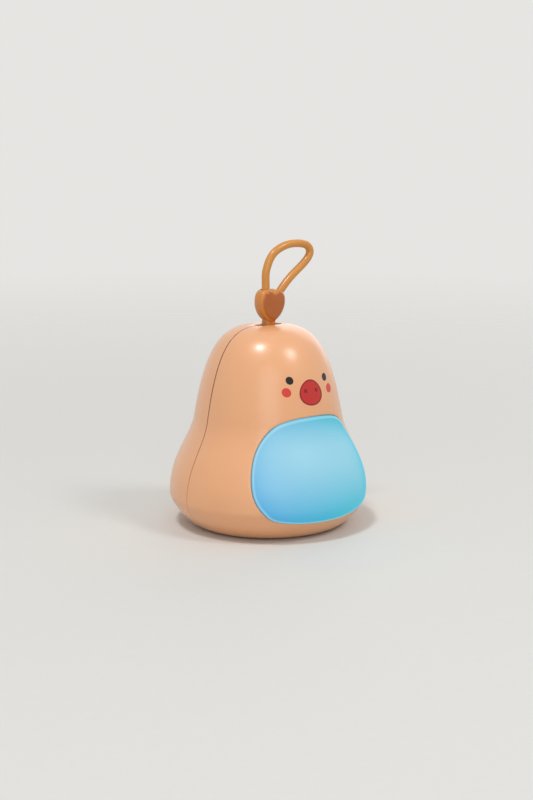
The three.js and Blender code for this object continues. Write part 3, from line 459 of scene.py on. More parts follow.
def split_rim(kind, tongue):
    """Rim of a half: a small round edge, then the slot's straight wall, the tongue or the groove along the
    split, or the ledge at the base. Each is four steps into the void and down. Within a few points of its
    ends the split is plain too, so that neighbours share their form."""
    plain = [(0, 0.7 * mm), (0, 1.4 * mm), (0, wall), (-0.1 * mm, wall)]
    groove = [(0, 0.4 * mm), (0, 0.7 * mm), (0, groove_depth), (-0.1 * mm, groove_depth)]
    key = [(0, tongue_depth), (tongue_reach, tongue_depth), (tongue_reach, wall), (0, wall)]
    ledge = [(0, ledge_rise), (ledge_reach, ledge_rise), (ledge_reach, ledge_top), (0, ledge_top)]
    few = 4
    near_end = np.convolve(np.pad(kind != 0, few, mode="wrap"), np.ones(2 * few + 1), "valid") > 0
    forms = np.array([plain, key if tongue else groove, ledge])
    steps = forms[np.where(kind == 2, 2, np.where(near_end, 0, 1))]
    edge = np.array([seam_edge, slot_edge, base_edge])[kind][:, None]
    return rim(edge, *[(edge + steps[:, number, :1], steps[:, number, 1:]) for number in range(4)])


def shell_inside(groove):
    """Inner face of a shell: the wall's thickness inwards, flat on the ledge and thinner in the groove."""
    def surface(turn, rise):
        points, normals, _, _ = on_housing(turn, rise)
        beside = np.abs(points[:, 1]) < tongue_reach + split_gap * 1.5
        inner = points - normals * np.where(groove & beside, groove_depth, wall)[:, None]
        inner[:, 2] = np.maximum(inner[:, 2], base_height + ledge_top)
        return inner

    return surface


panel_stops = np.array([[0, 54], [20.29, 48.4], [31.6, 23.5], [24.49, 11.2], [0, 8.6]]) * mm
panel_headings = np.radians([0, -46, -90, -155, 180])
panel_leads = np.array([[11.9711, 5.0725], [7.917, 8.964], [4.92, 4.977], [4.4082, 10.0409]]) * mm
window_edge = 0.45 * mm


def panel_outline():
    """Outline of the panel in the front view: four Bezier curves down the right side and their mirror
    images, evenly spaced and running so that the panel is on the right."""
    right = curve(panel_stops, panel_headings, panel_leads)
    closed = np.vstack([right, panel_stops[-1:], (right * (-1, 1))[::-1]])
    length = running(np.hypot(*np.diff(closed, axis=0).T))
    even = np.arange(0, length[-1], length[-1] / round(length[-1] / loop_step))
    return np.stack([np.interp(even, length, axis) for axis in closed.T], -1)


# The third colour is painted shade: the shadow in the gap between the shells, painted along the split.
peach, peach_deep, split_shadow_paint = paint(235, 174, 126), paint(228, 163, 115), paint(126, 72, 48)
seam_foot = 15 * mm


def moulded(place):
    """Satin moulded skin: a fine spark-eroded grain, a very slight drift of tone and gloss, and painted
    shade along the split, standing in for the shadow in its gap, that grows fainter downwards. Gives its
    colour, its height and its roughness."""
    grain, drift, flow = place.noise(0.16 * mm, 2), place.noise(22 * mm, 2), place.noise(3.5 * mm, 3)
    _, y, z = place.axes()
    # Painted shade: a dark band along the split stands in for the shadow in its gap, faded towards the foot.
    split_shadow = y.maths("ABSOLUTE").under(split_gap / 2 + seam_edge / 2, 0.15 * mm)
    split_shadow = split_shadow * ((z - seam_foot) / neck_height).clamped()
    colour = split_shadow.blend(drift.blend(peach_deep, peach), split_shadow_paint)
    return colour, grain * 0.6 + flow * 0.4, 0.3 + drift * 0.04 + grain * 0.05


def shell_finish(place):
    """The skin of the shells, the cap and the cover, with nothing printed on it."""
    colour, height, roughness = moulded(place)
    return {"Base Color": colour, "Roughness": roughness, "Normal": height.bump(0.012 * mm, 0.5)}


eye_x, eye_height, eye_radius = 9.8 * mm, 70.1 * mm, 1.7 * mm
cheek_x, cheek_height, cheek_radius = 11.9 * mm, 65.1 * mm, 2.0 * mm
nostril_x, nostril_height, nostril_radius = 2.95 * mm, 65.4 * mm, 0.92 * mm
snout_height, snout_half_width, snout_half_height = 64.5 * mm, 6.2 * mm, 5.6 * mm
snout_swell, snout_line, ink_soft = 0.13, 0.62 * mm, 0.09 * mm
print_aside, print_drop, print_turn = 0.68 * mm, 0.3 * mm, math.radians(1.2)
satin_coat = 0.65


def face_finish(place):
    """The shell's skin with the face printed on it: round eyes and cheeks, and an egg-shaped snout that is
    widest below its middle, with a darker line round it and two nostrils. The printing pad set it down a
    little aside, low and turned. The ink is smoother than the skin and lacks its satin coat."""
    colour, height, roughness = moulded(place)
    x, y, z = place.axes()
    front = y.under(0, 1 * mm)
    x, z = x - print_aside, z - (snout_height - print_drop)
    side = (x * math.cos(print_turn) - z * math.sin(print_turn)).maths("ABSOLUTE")
    z = x * math.sin(print_turn) + z * math.cos(print_turn) + snout_height

    def spot(centre_x, centre_height, radius):
        away = ((side - centre_x) ** 2 + (z - centre_height) ** 2) ** 0.5
        return away.under(radius, ink_soft) * front

    up = (z - snout_height) / snout_half_height
    egg = ((side / (snout_half_width * (1 - snout_swell * up))) ** 2 + up ** 2) ** 0.5
    soft = ink_soft / snout_half_height
    snout = egg.under(1, soft) * front
    filling = egg.under(1 - snout_line / snout_half_height, soft) * front
    eyes = spot(eye_x, eye_height, eye_radius)
    cheeks = spot(cheek_x, cheek_height, cheek_radius)
    press = place.noise(0.35 * mm, 3)
    colour = cheeks.blend(colour, press.blend(paint(206, 56, 48), paint(214, 66, 56)))
    colour = snout.blend(colour, paint(138, 12, 12))
    colour = filling.blend(colour, press.blend(paint(188, 36, 32), paint(196, 44, 39)))
    colour = spot(nostril_x, nostril_height, nostril_radius).blend(colour, paint(140, 10, 10))
    ink = cheeks.maths("MAXIMUM", snout).maths("MAXIMUM", eyes)
    return {
        "Base Color": eyes.blend(colour, paint(10, 11, 14)),
        "Coat Weight": (1 - ink) * satin_coat,
        "Roughness": roughness - ink * 0.08,
        "Normal": (height * (1 - ink * 0.5) + ink * 1.2).bump(0.012 * mm, 0.5),
    }


satin = {"Coat_Weight": satin_coat, "Coat_Roughness": 0.24, "Subsurface_Weight": 0.06,
         "Subsurface_Radius": (1.0, 0.45, 0.25), "Subsurface_Scale": 1.2 * mm}
peach_plastic = finish("peach moulded plastic", shell_finish, **satin)
printed_plastic = finish("peach plastic with a printed face", face_finish, **satin)
window = panel_outline()
window_rim = rim(window_edge, (window_edge, 1.2 * mm), (window_edge, wall), (window_edge / 2, wall))
front_loop, front_kind = half_loop(-1)
front = plate([front_loop, traced(window, window_edge, -1)], [split_rim(front_kind, True), window_rim],
              shell_cell, shell_inside(False))
add_piece("front_shell_skin", front, printed_plastic, "front_shell")


# The rear shell is the other half, with a groove for the tongue. Holes for the button, the charging port
# and the charge light go through it; the port stands in a shallow flat recess.
button_height, button_hole_radius, button_edge = 27 * mm, 4.8 * mm, 0.35 * mm
port_height, port_edge, port_sink, port_step = 14 * mm, 0.3 * mm, 1.1 * mm, 0.2 * mm
port_recess, port_mouth, mouth_flare = np.array([13, 7]) * mm, np.array([9.54, 3.86]) * mm, 1.04
light_x, light_hole_radius, light_edge = -9 * mm, 1.4 * mm, 0.2 * mm


def circle(count, start=0.0):
    """Points evenly round a unit circle, from an angle on."""
    return polar(np.linspace(0, 2 * math.pi, count, endpoint=False) + start)


def stadium(width, height, x, centre_height, count=72):
    """Points of a stadium in the front view: a row with a half circle at each end, evenly turned."""
    ring = circle(count, math.pi / count)
    return (x, centre_height) + height / 2 * ring + (width - height) / 2 * np.sign(ring) * (1, 0)


def upright(drawing, depth):
    """A drawing in the front view, set up at a depth along Y."""
    return np.stack([drawing[:, 0], np.full(len(drawing), depth), drawing[:, 1]], -1)


def hole_rim(edge):
    """Rim of a plain hole: the round edge and a wall straight through the shell."""
    return rim(edge, (edge, wall), (edge / 2, wall))


recess, mouth = stadium(*port_recess, 0, port_height), stadium(*port_mouth, 0, port_height)
port_loop = traced(recess, port_edge, 1)
port_floor = radius_at(rise_at_height(port_height)) - port_sink
port_back = on_housing(*port_loop, -wall)[0][:, 1].min() - port_step
port_rim = rim(port_edge, upright(recess, port_floor), upright(mouth * (mouth_flare, 1), port_floor),
               upright(mouth, port_floor - port_step), upright(mouth, port_back))
button_hole = stadium(2 * button_hole_radius, 2 * button_hole_radius, 0, button_height, 96)
light_hole = stadium(2 * light_hole_radius, 2 * light_hole_radius, light_x, port_height, 40)
rear_loop, rear_kind = half_loop(1)
rear = plate([rear_loop, traced(button_hole, button_edge, 1), port_loop, traced(light_hole, light_edge, 1)],
             [split_rim(rear_kind, False), hole_rim(button_edge), port_rim, hole_rim(light_edge)],
             shell_cell, shell_inside(True))
add_piece("rear_shell_skin", rear, peach_plastic, "rear_shell")


# The light panel is a milky diffuser that stands half a millimetre proud in the window. Lit from behind,
# it glows cyan-blue, paler towards the lamps and deeper towards its foot, with a bright line at its edge.
panel_gap, panel_proud, panel_edge = 0.3 * mm, 0.5 * mm, 0.8 * mm
panel_thickness, panel_skirt, skirt_thickness = 2.0 * mm, 3.6 * mm, 1.6 * mm
panel_cell = 0.8 * mm
# The share of the glow that is painted into the base colour; the rest is emitted.
painted_glow_share = 0.4
glow_foot, glow_middle, glow_height, foot_share = 12 * mm, 30 * mm, 40 * mm, 0.45
glow_spread, glow_slant, edge_share = 90 * mm, 60 * mm, 0.95
glow_fade, glow_rim, rim_share = 7 * mm, 0.5 * mm, 0.45


def panel_finish(place):
    """Light through a milky sheet. It gets paler with height up to a level above the middle, and deeper
    near the edge by a share of e to the power of minus the distance to it; the share grows to the right
    and downwards. What is less pale is bluer to the left and greener to the right, and the round edge
    itself is a little brighter."""
    x, _, z = place.axes()
    edge = place.node("Attribute", {"attribute_name": "edge"}, output=2)
    level = ((z - glow_foot) / (glow_height - glow_foot) * (1 - foot_share)).clamped(foot_share)
    share = x / glow_slant + (glow_middle - z) / glow_spread + edge_share
    pale = (level * (1 - share * (edge / -glow_fade).maths("EXPONENT"))).clamped() ** 1.2
    right = (x / panel_stops[2, 0] * 0.8).clamped(0.8)
    glow = pale.blend(right.blend(paint(52, 162, 224), paint(36, 186, 212)), paint(164, 213, 232))
    cloud = place.noise(9 * mm, 2)
    glow = (cloud * 0.12).blend(glow, paint(120, 205, 232))
    glow = (edge.under(glow_rim, glow_rim) * rim_share).blend(glow, paint(176, 226, 242))
    # Painted light: the base colour is the glow itself at a share, bright edge line included, so it shows as
    # colour under the lamps too.
    return {"Base Color": glow.scaled(painted_glow_share), "Emission Color": glow,
            "Roughness": 0.34 + cloud * 0.06, "Normal": place.noise(0.2 * mm, 2).bump(0.006 * mm, 0.4)}


panel_loop = traced(window[::-1], panel_gap + panel_edge, -1)
panel_rim = rim(panel_edge, (panel_edge, panel_skirt), (panel_edge - skirt_thickness, panel_skirt), turns=6)
panel = plate([panel_loop], [panel_rim], panel_cell,
              lambda turn, rise: on_housing(turn, rise, panel_proud - panel_thickness)[0],
              lambda turn, rise: panel_proud)
milky = finish("milky lit diffuser", panel_finish, Emission_Strength=1 - painted_glow_share, Specular_IOR_Level=0.4)
lens = add_piece("light_panel_lens", panel, milky, "light_panel")
edge_distance = nearest(panel[0], on_housing(*panel_loop, panel_proud)[0])
lens.data.attributes.new("edge", "FLOAT", "POINT").data.foreach_set("value", edge_distance)


# The carry strap stands in the crown's slot. Its foot is a heart moulded in amber gloss plastic, with a
# bevelled edge, a flat stem and an eye on the cross pin, and two blind holes on top for the loop's ends.
pivot_height, strap_lean = 87.5 * mm, math.radians(4)
heart_rise, heart_width, heart_height, heart_thickness = 4.6 * mm, 13.6 * mm, 14.6 * mm, 7.8 * mm
lobe_radius, tip_radius, flank_radius = 4.1 * mm, 2.4 * mm, 9.9 * mm
heart_edge, heart_dome, heart_middle, bevel_power = 1.5 * mm, 0.25 * mm, 0.56, 1.75
stem_width, stem_thickness, stem_edge = 4.8 * mm, 3.9 * mm, 0.35 * mm
eye_ring_radius, pin_radius, pin_gap, pin_flare = 2.6 * mm, 0.9 * mm, 0.3 * mm, 0.15 * mm
right_leg_lean, leg_depth, loop_radius = math.radians(40), 5 * mm, 1.8 * mm
weld_distance = 0.001 * mm


def arc(centre, radius, start, end, steps):
    """Points on an arc, its first end included and its last one not."""
    return centre + radius * polar(np.linspace(start, end, steps, endpoint=False))


def heart_outline(inset):
    """The heart's outline moved inwards, tip down at the origin: an arc round the tip, a wide one up the
    flank, one over the lobe and a small one in the valley, then their mirror images."""
    lobe = np.array([heart_width / 2 - lobe_radius, heart_height - lobe_radius])
    tip = np.array([0, tip_radius])
    span = np.linalg.norm(tip - lobe)
    lobe_reach, tip_reach = flank_radius - lobe_radius, flank_radius - tip_radius
    along_span = (lobe_reach ** 2 - tip_reach ** 2 + span ** 2) / (2 * span)
    way = (tip - lobe) / span
    flank = lobe + along_span * way + math.sqrt(lobe_reach ** 2 - along_span ** 2) * way[::-1] * (1, -1)
    lobe_touch, tip_touch = (math.atan2(*(centre - flank)[::-1]) for centre in (lobe, tip))
    dip = lobe * (0, 1) + (0, math.sqrt(lobe_radius ** 2 - lobe[0] ** 2))
    valley = math.atan2(*(dip - lobe)[::-1])
    half = np.vstack([
        arc(tip, tip_radius - inset, -math.pi / 2, tip_touch, 14),
        arc(flank, flank_radius - inset, tip_touch, lobe_touch, 20),
        arc(lobe, lobe_radius - inset, lobe_touch, valley, 34),
        arc(dip, inset, valley + math.pi, math.pi * 3 / 2, 8),
    ])
    return np.vstack([half, [dip - (0, inset)], (half * (-1, 1))[:0:-1]])


def leaned(points):
    """Points of the strap's own frame, pivot at the origin, turned by its lean and set on the pivot."""
    x, y, z = points.T
    cosine, sine = math.cos(strap_lean), math.sin(strap_lean)
    return np.stack([x * cosine + z * sine, y, pivot_height - x * sine + z * cosine], -1)


def stacked(rows, poles=None, closed=False):
    """A closed body from equal rings of points. At both ends a fan runs to a pole or one face fills the
    ring, or else the stack closes on itself. All faces are reversed if the volume, a sixth of the sum of
    the triple products of their triangles, comes out below zero."""
    count, total = len(rows[0]), len(rows) * len(rows[0])
    place, following = np.arange(count), np.roll(np.arange(count), -1)
    first = np.arange(0, total if closed else total - count, count)[:, None]
    second = (first + count) % total
    quads = np.stack([first + place, first + following, second + following, second + place], -1)
    faces, last = [quads.reshape(-1, 4)], total - count
    if poles is not None:
        rows = [*rows, *poles]
        faces += [np.stack([0 * place + total, following, place], -1),
                  np.stack([0 * place + total + 1, last + place, last + following], -1)]
    elif not closed:
        faces += [place[None, ::-1], last + place[None]]
    points = np.vstack(rows)
    volume = sum(np.sum(points[group[:, 0]] * np.cross(points[group[:, k]], points[group[:, k + 1]]))
                 for group in faces for k in range(1, group.shape[1] - 1))
    return points, [group[:, ::-1] for group in faces] if volume < 0 else faces


def joined(*bodies):
    """Several closed bodies as one list of points and faces."""
    starts = np.cumsum([0] + [len(points) for points, _ in bodies])
    return (np.vstack([points for points, _ in bodies]),
            [group + start for start, (_, faces) in zip(starts, bodies) for group in faces])


def both_sides(rows):
    """Rows and, before them, their mirror images in the middle plane, from last to first."""
    return [row * (1, -1, 1) for row in rows[::-1]] + rows


def heart_body():
    """Rows of the outline from the middle of the back over the bevel to the middle of the front. On the
    bevel inset and depth follow a soft-cornered chamfer, 1 less a power of cosine and sine; the faces
    swell by the dome times 1 minus the squared share of the way out."""
    angle = np.linspace(0, math.pi / 2, 9)
    inset = heart_edge * (1 - np.cos(angle) ** bevel_power)
    depth = heart_thickness / 2 - heart_dome - heart_edge * (1 - np.sin(angle) ** bevel_power)
    face, middle = heart_outline(heart_edge), np.array([0, heart_middle * heart_height])
    half = [upright(heart_outline(i), -d) for i, d in zip(inset, depth)]
    half += [upright(middle + share * (face - middle), heart_dome * share ** 2 - heart_thickness / 2)
             for share in (0.8, 0.6, 0.4, 0.2, 0.03)]
    poles = [upright(middle[None], side * heart_thickness / 2) for side in (1, -1)]
    points, faces = stacked(both_sides(half), poles)
    return points + (0, 0, heart_rise), faces


def stem_body():
    """A flat bar with a round lower end and a hole for the pin. Rays from the hole's middle reach to the
    eye's round below and close to level, and else to the bar's side or top. A closed ring of sections runs
    from the hole's rear edge over the back, the outer edge and the front to the hole's front edge."""
    ring = circle(96, -math.pi / 2)
    wide, high = np.maximum(np.abs(ring[:, 0]), 1e-6), np.maximum(ring[:, 1], 1e-6)
    bar = np.minimum(stem_width / 2 / wide, (heart_rise + tip_radius) / high)
    bar = np.where(wide > 0.9, np.minimum(bar, eye_ring_radius), bar)
    outer = ring * np.where(ring[:, 1] > 0, bar, eye_ring_radius)[:, None]
    hole = ring * (pin_radius + pin_gap)
    face = -stem_thickness / 2
    rows = [upright(outer - ring * inset, face + stem_edge - out) for out, inset in quarter(stem_edge, 5)]
    rows += [upright((outer + hole) / 2, face), upright(hole, face + pin_flare)]
    return stacked(both_sides(rows), closed=True)


def on_leg(side, distance):
    """The point on a leg's middle line at a distance from the centre of its lobe."""
    lean = right_leg_lean if side > 0 else 0
    centre = np.array([side * (heart_width / 2 - lobe_radius), 0, heart_rise + heart_height - lobe_radius])
    return centre + distance * np.array([math.sin(lean), 0, math.cos(lean)])


def round_bar(radius, start, end, count=64):
    """A closed straight bar: circles about its two ends, square to the way between them."""
    way = unit(np.subtract(end, start))
    first = unit(np.cross(way, (0, 1, 0) if abs(way[1]) < 0.9 else (0, 0, 1)))
    ring = radius * circle(count) @ [first, np.cross(way, first)]
    return stacked([start + ring, end + ring])


def carve(piece, tools, operation="DIFFERENCE"):
    """Cuts closed meshes out of a piece, or joins them to it, with the exact boolean. Points that fall
    together are welded."""
    holders = [bpy.data.objects.new("tool", raw_mesh("tool", *tool)) for tool in tools]
    for holder in holders:
        bpy.context.collection.objects.link(holder)
        modifier = piece.modifiers.new("tool", "BOOLEAN")
        modifier.operation, modifier.solver, modifier.object = operation, "EXACT", holder
    evaluated = piece.evaluated_get(bpy.context.evaluated_depsgraph_get())
    carved = bpy.data.meshes.new_from_object(evaluated)
    welded = bmesh.new()
    welded.from_mesh(carved)
    bmesh.ops.remove_doubles(welded, verts=welded.verts, dist=weld_distance)
    welded.to_mesh(carved)
    welded.free()
    piece.modifiers.clear()
    piece.data = carved
    for holder in holders:
        bpy.data.objects.remove(holder)
    shade(carved)


def amber_finish(place):
    """Glossy amber moulding with painted light: deeper on the flat faces, as in shade, and paler along the
    bevel and the sides, as where light from above catches them, with a slow drift of tone, a faint flow
    pattern and fine handling marks."""
    drift = place.noise(6 * mm, 2)
    flow, marks = place.noise(0.9 * mm, 4, (1, 1, 0.4)), place.noise(0.25 * mm, 5)
    face_depth = heart_thickness / 2 - heart_dome - heart_edge / 3
    # Painted light: the bevel and sides get the pale colour as if lit from above, the flat faces the deep one
    # as if shaded.
    beside = place.axes()[1].maths("ABSOLUTE").under(face_depth, heart_edge / 3)
    deep = drift.blend(paint(166, 84, 18), paint(180, 98, 26))
    return {
        "Base Color": beside.blend(deep, drift.blend(paint(200, 122, 42), paint(214, 138, 54))),
        "Roughness": 0.26 + flow * 0.1 + marks * 0.04,
        "Normal": (flow * 0.7 + marks * 0.3).bump(0.02 * mm, 0.35),
    }


amber = finish("amber gloss plastic", amber_finish, Coat_Weight=0.25, Coat_Roughness=0.1)
points, faces = joined(heart_body(), stem_body())
heart = add_piece("heart", (leaned(points), faces), amber, "heart_shackle", "strap")
hole_span = (lobe_radius - leg_depth - cover_gap, 2 * lobe_radius)
hole_ends = [leaned(np.array([on_leg(side, distance) for distance in hole_span])) for side in (-1, 1)]
carve(heart, [round_bar(loop_radius + cover_gap, *ends) for ends in hole_ends])


# The carry loop is a springy round cord of amber silicone, moulded in the form in which it stands, with a
# soft sheen and a little lint. Both its ends are plugged into the heart's lobes.
loop_width, loop_height, loop_left_share, cord_edge = 24.35 * mm, 20.7 * mm, 0.129, 0.5 * mm
loop_route = np.array([
    [0.012, 0.111], [0.002, 0.232], [0.002, 0.357], [0.027, 0.488], [0.076, 0.638], [0.166, 0.783],
    [0.322, 0.903], [0.499, 0.976], [0.688, 1.0], [0.852, 0.986], [0.93, 0.953], [0.985, 0.885],
    [1.0, 0.8], [0.972, 0.712], [0.918, 0.628], [0.803, 0.498], [0.635, 0.329], [0.495, 0.164],
])


def smooth_run(stops, steps):
    """A centripetal Catmull-Rom curve. Between two stops it is a cubic whose end slopes weigh the steps to
    their neighbours by the square root of each step's length."""
    stops = np.vstack([2 * stops[0] - stops[1], stops, 2 * stops[-1] - stops[-2]])
    gap = np.sqrt(np.linalg.norm(np.diff(stops, axis=0), axis=1))[:, None]
    a, b, c, d = stops[:-3], stops[1:-2], stops[2:-1], stops[3:]
    ab, bc, cd = gap[:-2], gap[1:-1], gap[2:]
    slope_b = ((b - a) / ab - (c - a) / (ab + bc) + (c - b) / bc) * bc
    slope_c = ((c - b) / bc - (d - b) / (bc + cd) + (d - c) / cd) * bc
    t = np.linspace(0, 1, steps, endpoint=False)[None, :, None]
    b, c, slope_b, slope_c = (part[:, None, :] for part in (b, c, slope_b, slope_c))
    run = b + slope_b * t + (3 * (c - b) - 2 * slope_b - slope_c) * t ** 2
    run += (2 * (b - c) + slope_b + slope_c) * t ** 3
    return np.vstack([run.reshape(-1, stops.shape[1]), stops[-2:-1]])


def cord(run, radius, sides, side_way, edge, turns=6):
    """A round tube along a run of points: circles about each point, a quarter round to each end and a pole
    in it. side_way is a direction that the run is never parallel to."""
    travel = unit(np.gradient(run, axis=0))
    first = unit(np.cross(side_way, travel))
    frames = np.stack([first, np.cross(travel, first)], 1)
    out, inset = quarter(edge, turns).T
    still, last = np.zeros(len(run) - 2), len(run) - 1
    shrink = radius - np.concatenate([edge - out, still, (edge - out)[::-1]])
    slide = np.concatenate([inset - edge, still, (edge - inset)[::-1]])
    pick = np.concatenate([np.zeros(turns, int), np.arange(1, last), np.full(turns, last)])
    centre = run[pick] + travel[pick] * slide[:, None]
    rings = centre[:, None] + shrink[:, None, None] * (circle(sides) @ frames[pick])
    return stacked(rings, centre[[0, -1], None])


def grained(low, high, drift, grain, rough, relief):
    """A plain finish of two noises, each given by its size and detail, and a stretch if it has one. The
    slow one drifts between two colours, and the fine one stands up as grain. The roughness is a number
    and a share of each; the relief is the grain's height and strength."""
    def varied(place):
        slow, fine = place.noise(*drift), place.noise(*grain)
        return {
            "Base Color": slow.blend(paint(*low), paint(*high)),
            "Roughness": rough[0] + slow * rough[1] + fine * rough[2],
            "Normal": fine.bump(*relief),
        }

    return varied


silicone = finish("amber silicone", grained((198, 128, 44), (214, 144, 56), (8 * mm, 2), (0.4 * mm, 4),
                                            (0.3, 0, 0.12), (0.012 * mm, 0.4)),
                  Coat_Weight=0.4, Coat_Roughness=0.12)
route = upright((loop_route - (loop_left_share, 0)) * (loop_width, loop_height), 0)
plugs = [lobe_radius - leg_depth, lobe_radius - leg_depth / 2, lobe_radius - cover_gap]
left_leg, right_leg = (np.array([on_leg(side, distance) for distance in plugs]) for side in (-1, 1))
stops = np.vstack([left_leg, route + (0, 0, heart_rise + heart_height), right_leg[::-1]])
points, faces = cord(smooth_run(stops, 16), loop_radius, 40, (0, 1, 0), cord_edge)
add_piece("loop_cord", (leaned(points), faces), silicone, "carry_loop", "strap")


# The cross pin carries the strap. It is a ground steel bar whose ends lie in blind bosses of both shells;
# fine scratches run along it, and it is slightly stained.
def dress(name, varied, *nodes, **fixed):
    """Gives a new material to CAD nodes that stay as they are."""
    material = finish(name, varied, **fixed)
    for node in nodes:
        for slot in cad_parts[node].material_slots:
            slot.material = material


dress("ground steel", grained((176, 178, 182), (198, 199, 202), (2 * mm, 3), (0.1 * mm, 3, (1, 0.1, 1)),
                              (0.26, 0, 0.16), (0.004 * mm, 0.4)), "strap_pin", Metallic=1.0)


# Behind the panel a white tray closes the light chamber. It holds the light board, an aluminium-cored
# board under white lacquer, with six lamps: white packages with a round well of yellow phosphor.
lamp_pitch_across, lamp_pitch_up, lamp_middle = 13 * mm, 11 * mm, 27 * mm
lamp_well_radius = 1.05 * mm
weave, track_soft = 0.16 * mm, 0.08 * mm


def lacquered(low, high, copper_width, copper_pitch):
    """A circuit board's lacquer: the weave of the board shows through as a fine check, and tracks stand
    up from it at a regular pitch wherever a slow noise lets them run."""
    def varied(place):
        x, _, z = place.axes()
        check = (x / weave).maths("SINE") * (z / weave).maths("SINE")
        across, upward = (axis.maths("PINGPONG", copper_pitch).under(copper_width, track_soft)
                          for axis in (x, z))
        runs, cloud = place.noise(7 * mm, 1), place.noise(1.5 * mm, 3)
        tracks = across * runs.under(0.48, 0.02) + upward * (1 - runs.under(0.52, 0.02))
        return {
            "Base Color": (tracks * 0.7 + cloud * 0.3).blend(paint(*low), paint(*high)),
            "Roughness": 0.3 + cloud * 0.12,
            "Normal": (tracks + check * 0.08).bump(0.035 * mm, 0.7),
        }

    return varied


def package_finish(place):
    """White package, and yellow inside a circle round the middle of each lamp in the grid of six."""
    x, _, z = place.axes()
    z = z - lamp_middle
    column = (x / lamp_pitch_across).maths("ROUND") * lamp_pitch_across - x
    row = ((z / lamp_pitch_up - 0.5).maths("ROUND") + 0.5) * lamp_pitch_up - z
    well = ((column ** 2 + row ** 2) ** 0.5).under(lamp_well_radius, 0.1 * mm)
    grit = place.noise(0.12 * mm, 3)
    return {
        "Base Color": (well * (0.8 + grit * 0.2)).blend(paint(238, 238, 232), paint(240, 214, 96)),
        "Roughness": 0.25 + well * 0.25 + grit * 0.1,
        "Normal": (grit * well).bump(0.03 * mm, 0.5),
    }


dress("white tray plastic", grained((236, 236, 231), (246, 246, 243), (5 * mm, 4), (0.2 * mm, 2),
                                    (0.42, 0, 0.1), (0.01 * mm, 0.4)), "reflector")
dress("white board lacquer", lacquered((226, 228, 222), (240, 241, 237), 0.5 * mm, 2.6 * mm), "led_board")
dress("lamp package", package_finish, *[f"led_{number}" for number in range(1, 7)], "charge_chip")


# The cell lies across the floor in a blue shrink sleeve that is folded over its steel ends. A black clip
# arches over it, and four leads with soft insulation run between cell, light board and main board.
cell_sleeve_end, sleeve_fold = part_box("battery_cell")[1].x - 2.0 * mm, 1.2 * mm


def cell_finish(place):
    """Blue sleeve with fine draw lines along the cell and a soft fold near its ends; bare steel past them."""
    length = place.axes()[0].maths("ABSOLUTE")
    bare = 1 - length.under(cell_sleeve_end, 0.15 * mm)
    lines = place.noise(0.3 * mm, 3, (0.06, 1, 1))
    fold = length.under(cell_sleeve_end - sleeve_fold, 0.4 * mm)
    return {
        "Base Color": bare.blend(lines.blend(paint(38, 98, 166), paint(52, 120, 190)), paint(186, 187, 188)),
        "Metallic": bare,
        "Roughness": 0.34 + lines * 0.12 - bare * 0.08,
        "Normal": (lines * 0.3 + fold).bump(0.05 * mm, 0.5),
    }


def insulation(low, high):
    """Soft insulation with a faint bloom."""
    return grained(low, high, (1.2 * mm, 3), (0.25 * mm, 2), (0.42, 0.12, 0), (0.01 * mm, 0.4))


dress("cell sleeve", cell_finish, "battery_cell")
dress("black nylon", grained((24, 24, 26), (40, 40, 43), (3 * mm, 4), (0.15 * mm, 3), (0.46, 0, 0.14),
                             (0.02 * mm, 0.4)), "battery_clip", "switch_body", "switch_stem")
dress("red insulation", insulation((176, 30, 26), (200, 44, 36)), "battery_lead_red", "light_lead_red")
dress("black insulation", insulation((20, 20, 22), (34, 34, 37)), "battery_lead_black")
dress("white insulation", insulation((222, 222, 216), (236, 236, 231)), "light_lead_white")
dress("green board lacquer", lacquered((20, 84, 54), (34, 112, 72), 0.22 * mm, 1.3 * mm), "main_board")


# The charging socket is a drawn and nickel-plated shell, open to the rear in the port. Inside it stands a
# thin black tongue with a row of gilt contacts on each face.
socket_box = np.array(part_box("usb_socket"))
socket_size, (socket_back, socket_mouth) = np.ptp(socket_box, axis=0)[[0, 2]], socket_box[:, 1].tolist()
socket_skin, socket_floor, socket_lip = 0.35 * mm, 2.5 * mm, 0.12 * mm
tongue_width, tongue_height, tongue_round = 6.6 * mm, 0.7 * mm, 0.12 * mm
tongue_tip, contact_pitch, contact_inset = socket_mouth - 0.8 * mm, 0.5 * mm, 0.5 * mm


def socket_body(size, steps):
    """A closed body from stadiums of a size, each shrunk all round and set at a depth."""
    return stacked([upright(stadium(*(size - 2 * shrink), 0, port_height), y) for shrink, y in steps])


def socket_finish(place):
    """Nickel plate, drawn lengthwise. Near the socket's middle plane it is the tongue: black, with gilt
    bars at an even pitch that start behind its tip."""
    x, y, z = place.axes()
    high, wide = (z - port_height).maths("ABSOLUTE"), x.maths("ABSOLUTE")
    tongue = high.under(tongue_height * 0.56, 0.02 * mm) * wide.under(tongue_width * 0.52, 0.05 * mm)
    gilt = tongue * x.maths("PINGPONG", contact_pitch).under(contact_pitch * 0.42, 0.04 * mm)
    gilt = gilt * y.under(tongue_tip - contact_inset, 0.05 * mm)
    drawn = place.noise(0.15 * mm, 3, (1, 0.08, 1))
    nickel = drawn.blend(paint(186, 183, 174), paint(208, 205, 197))
    return {
        "Base Color": gilt.blend(tongue.blend(nickel, paint(26, 26, 28)), paint(226, 184, 96)),
        "Metallic": 1 - tongue + gilt,
        "Roughness": 0.24 + drawn * 0.12 + tongue * 0.12,
        "Normal": (drawn * 0.3 + gilt).bump(0.01 * mm, 0.5),
    }


lip_steps = [(socket_skin / 2 * (1 - math.cos(a)), socket_mouth - socket_lip * (1 - math.sin(a)))
             for a in np.linspace(0, math.pi, 7)]
socket_shell = socket_body(socket_size, [(0, socket_back), *lip_steps,
                                         (socket_skin, socket_back + socket_floor)])
tongue = socket_body(np.array([tongue_width, tongue_height]), [(0, socket_back + socket_floor / 2)] + [
    (shrink, tongue_tip - tongue_round + out) for out, shrink in quarter(tongue_round, 3)])
nickel = finish("nickel plate and gilt contacts", socket_finish)
add_piece("charging_socket", joined(socket_shell, tongue), nickel, "usb_socket")


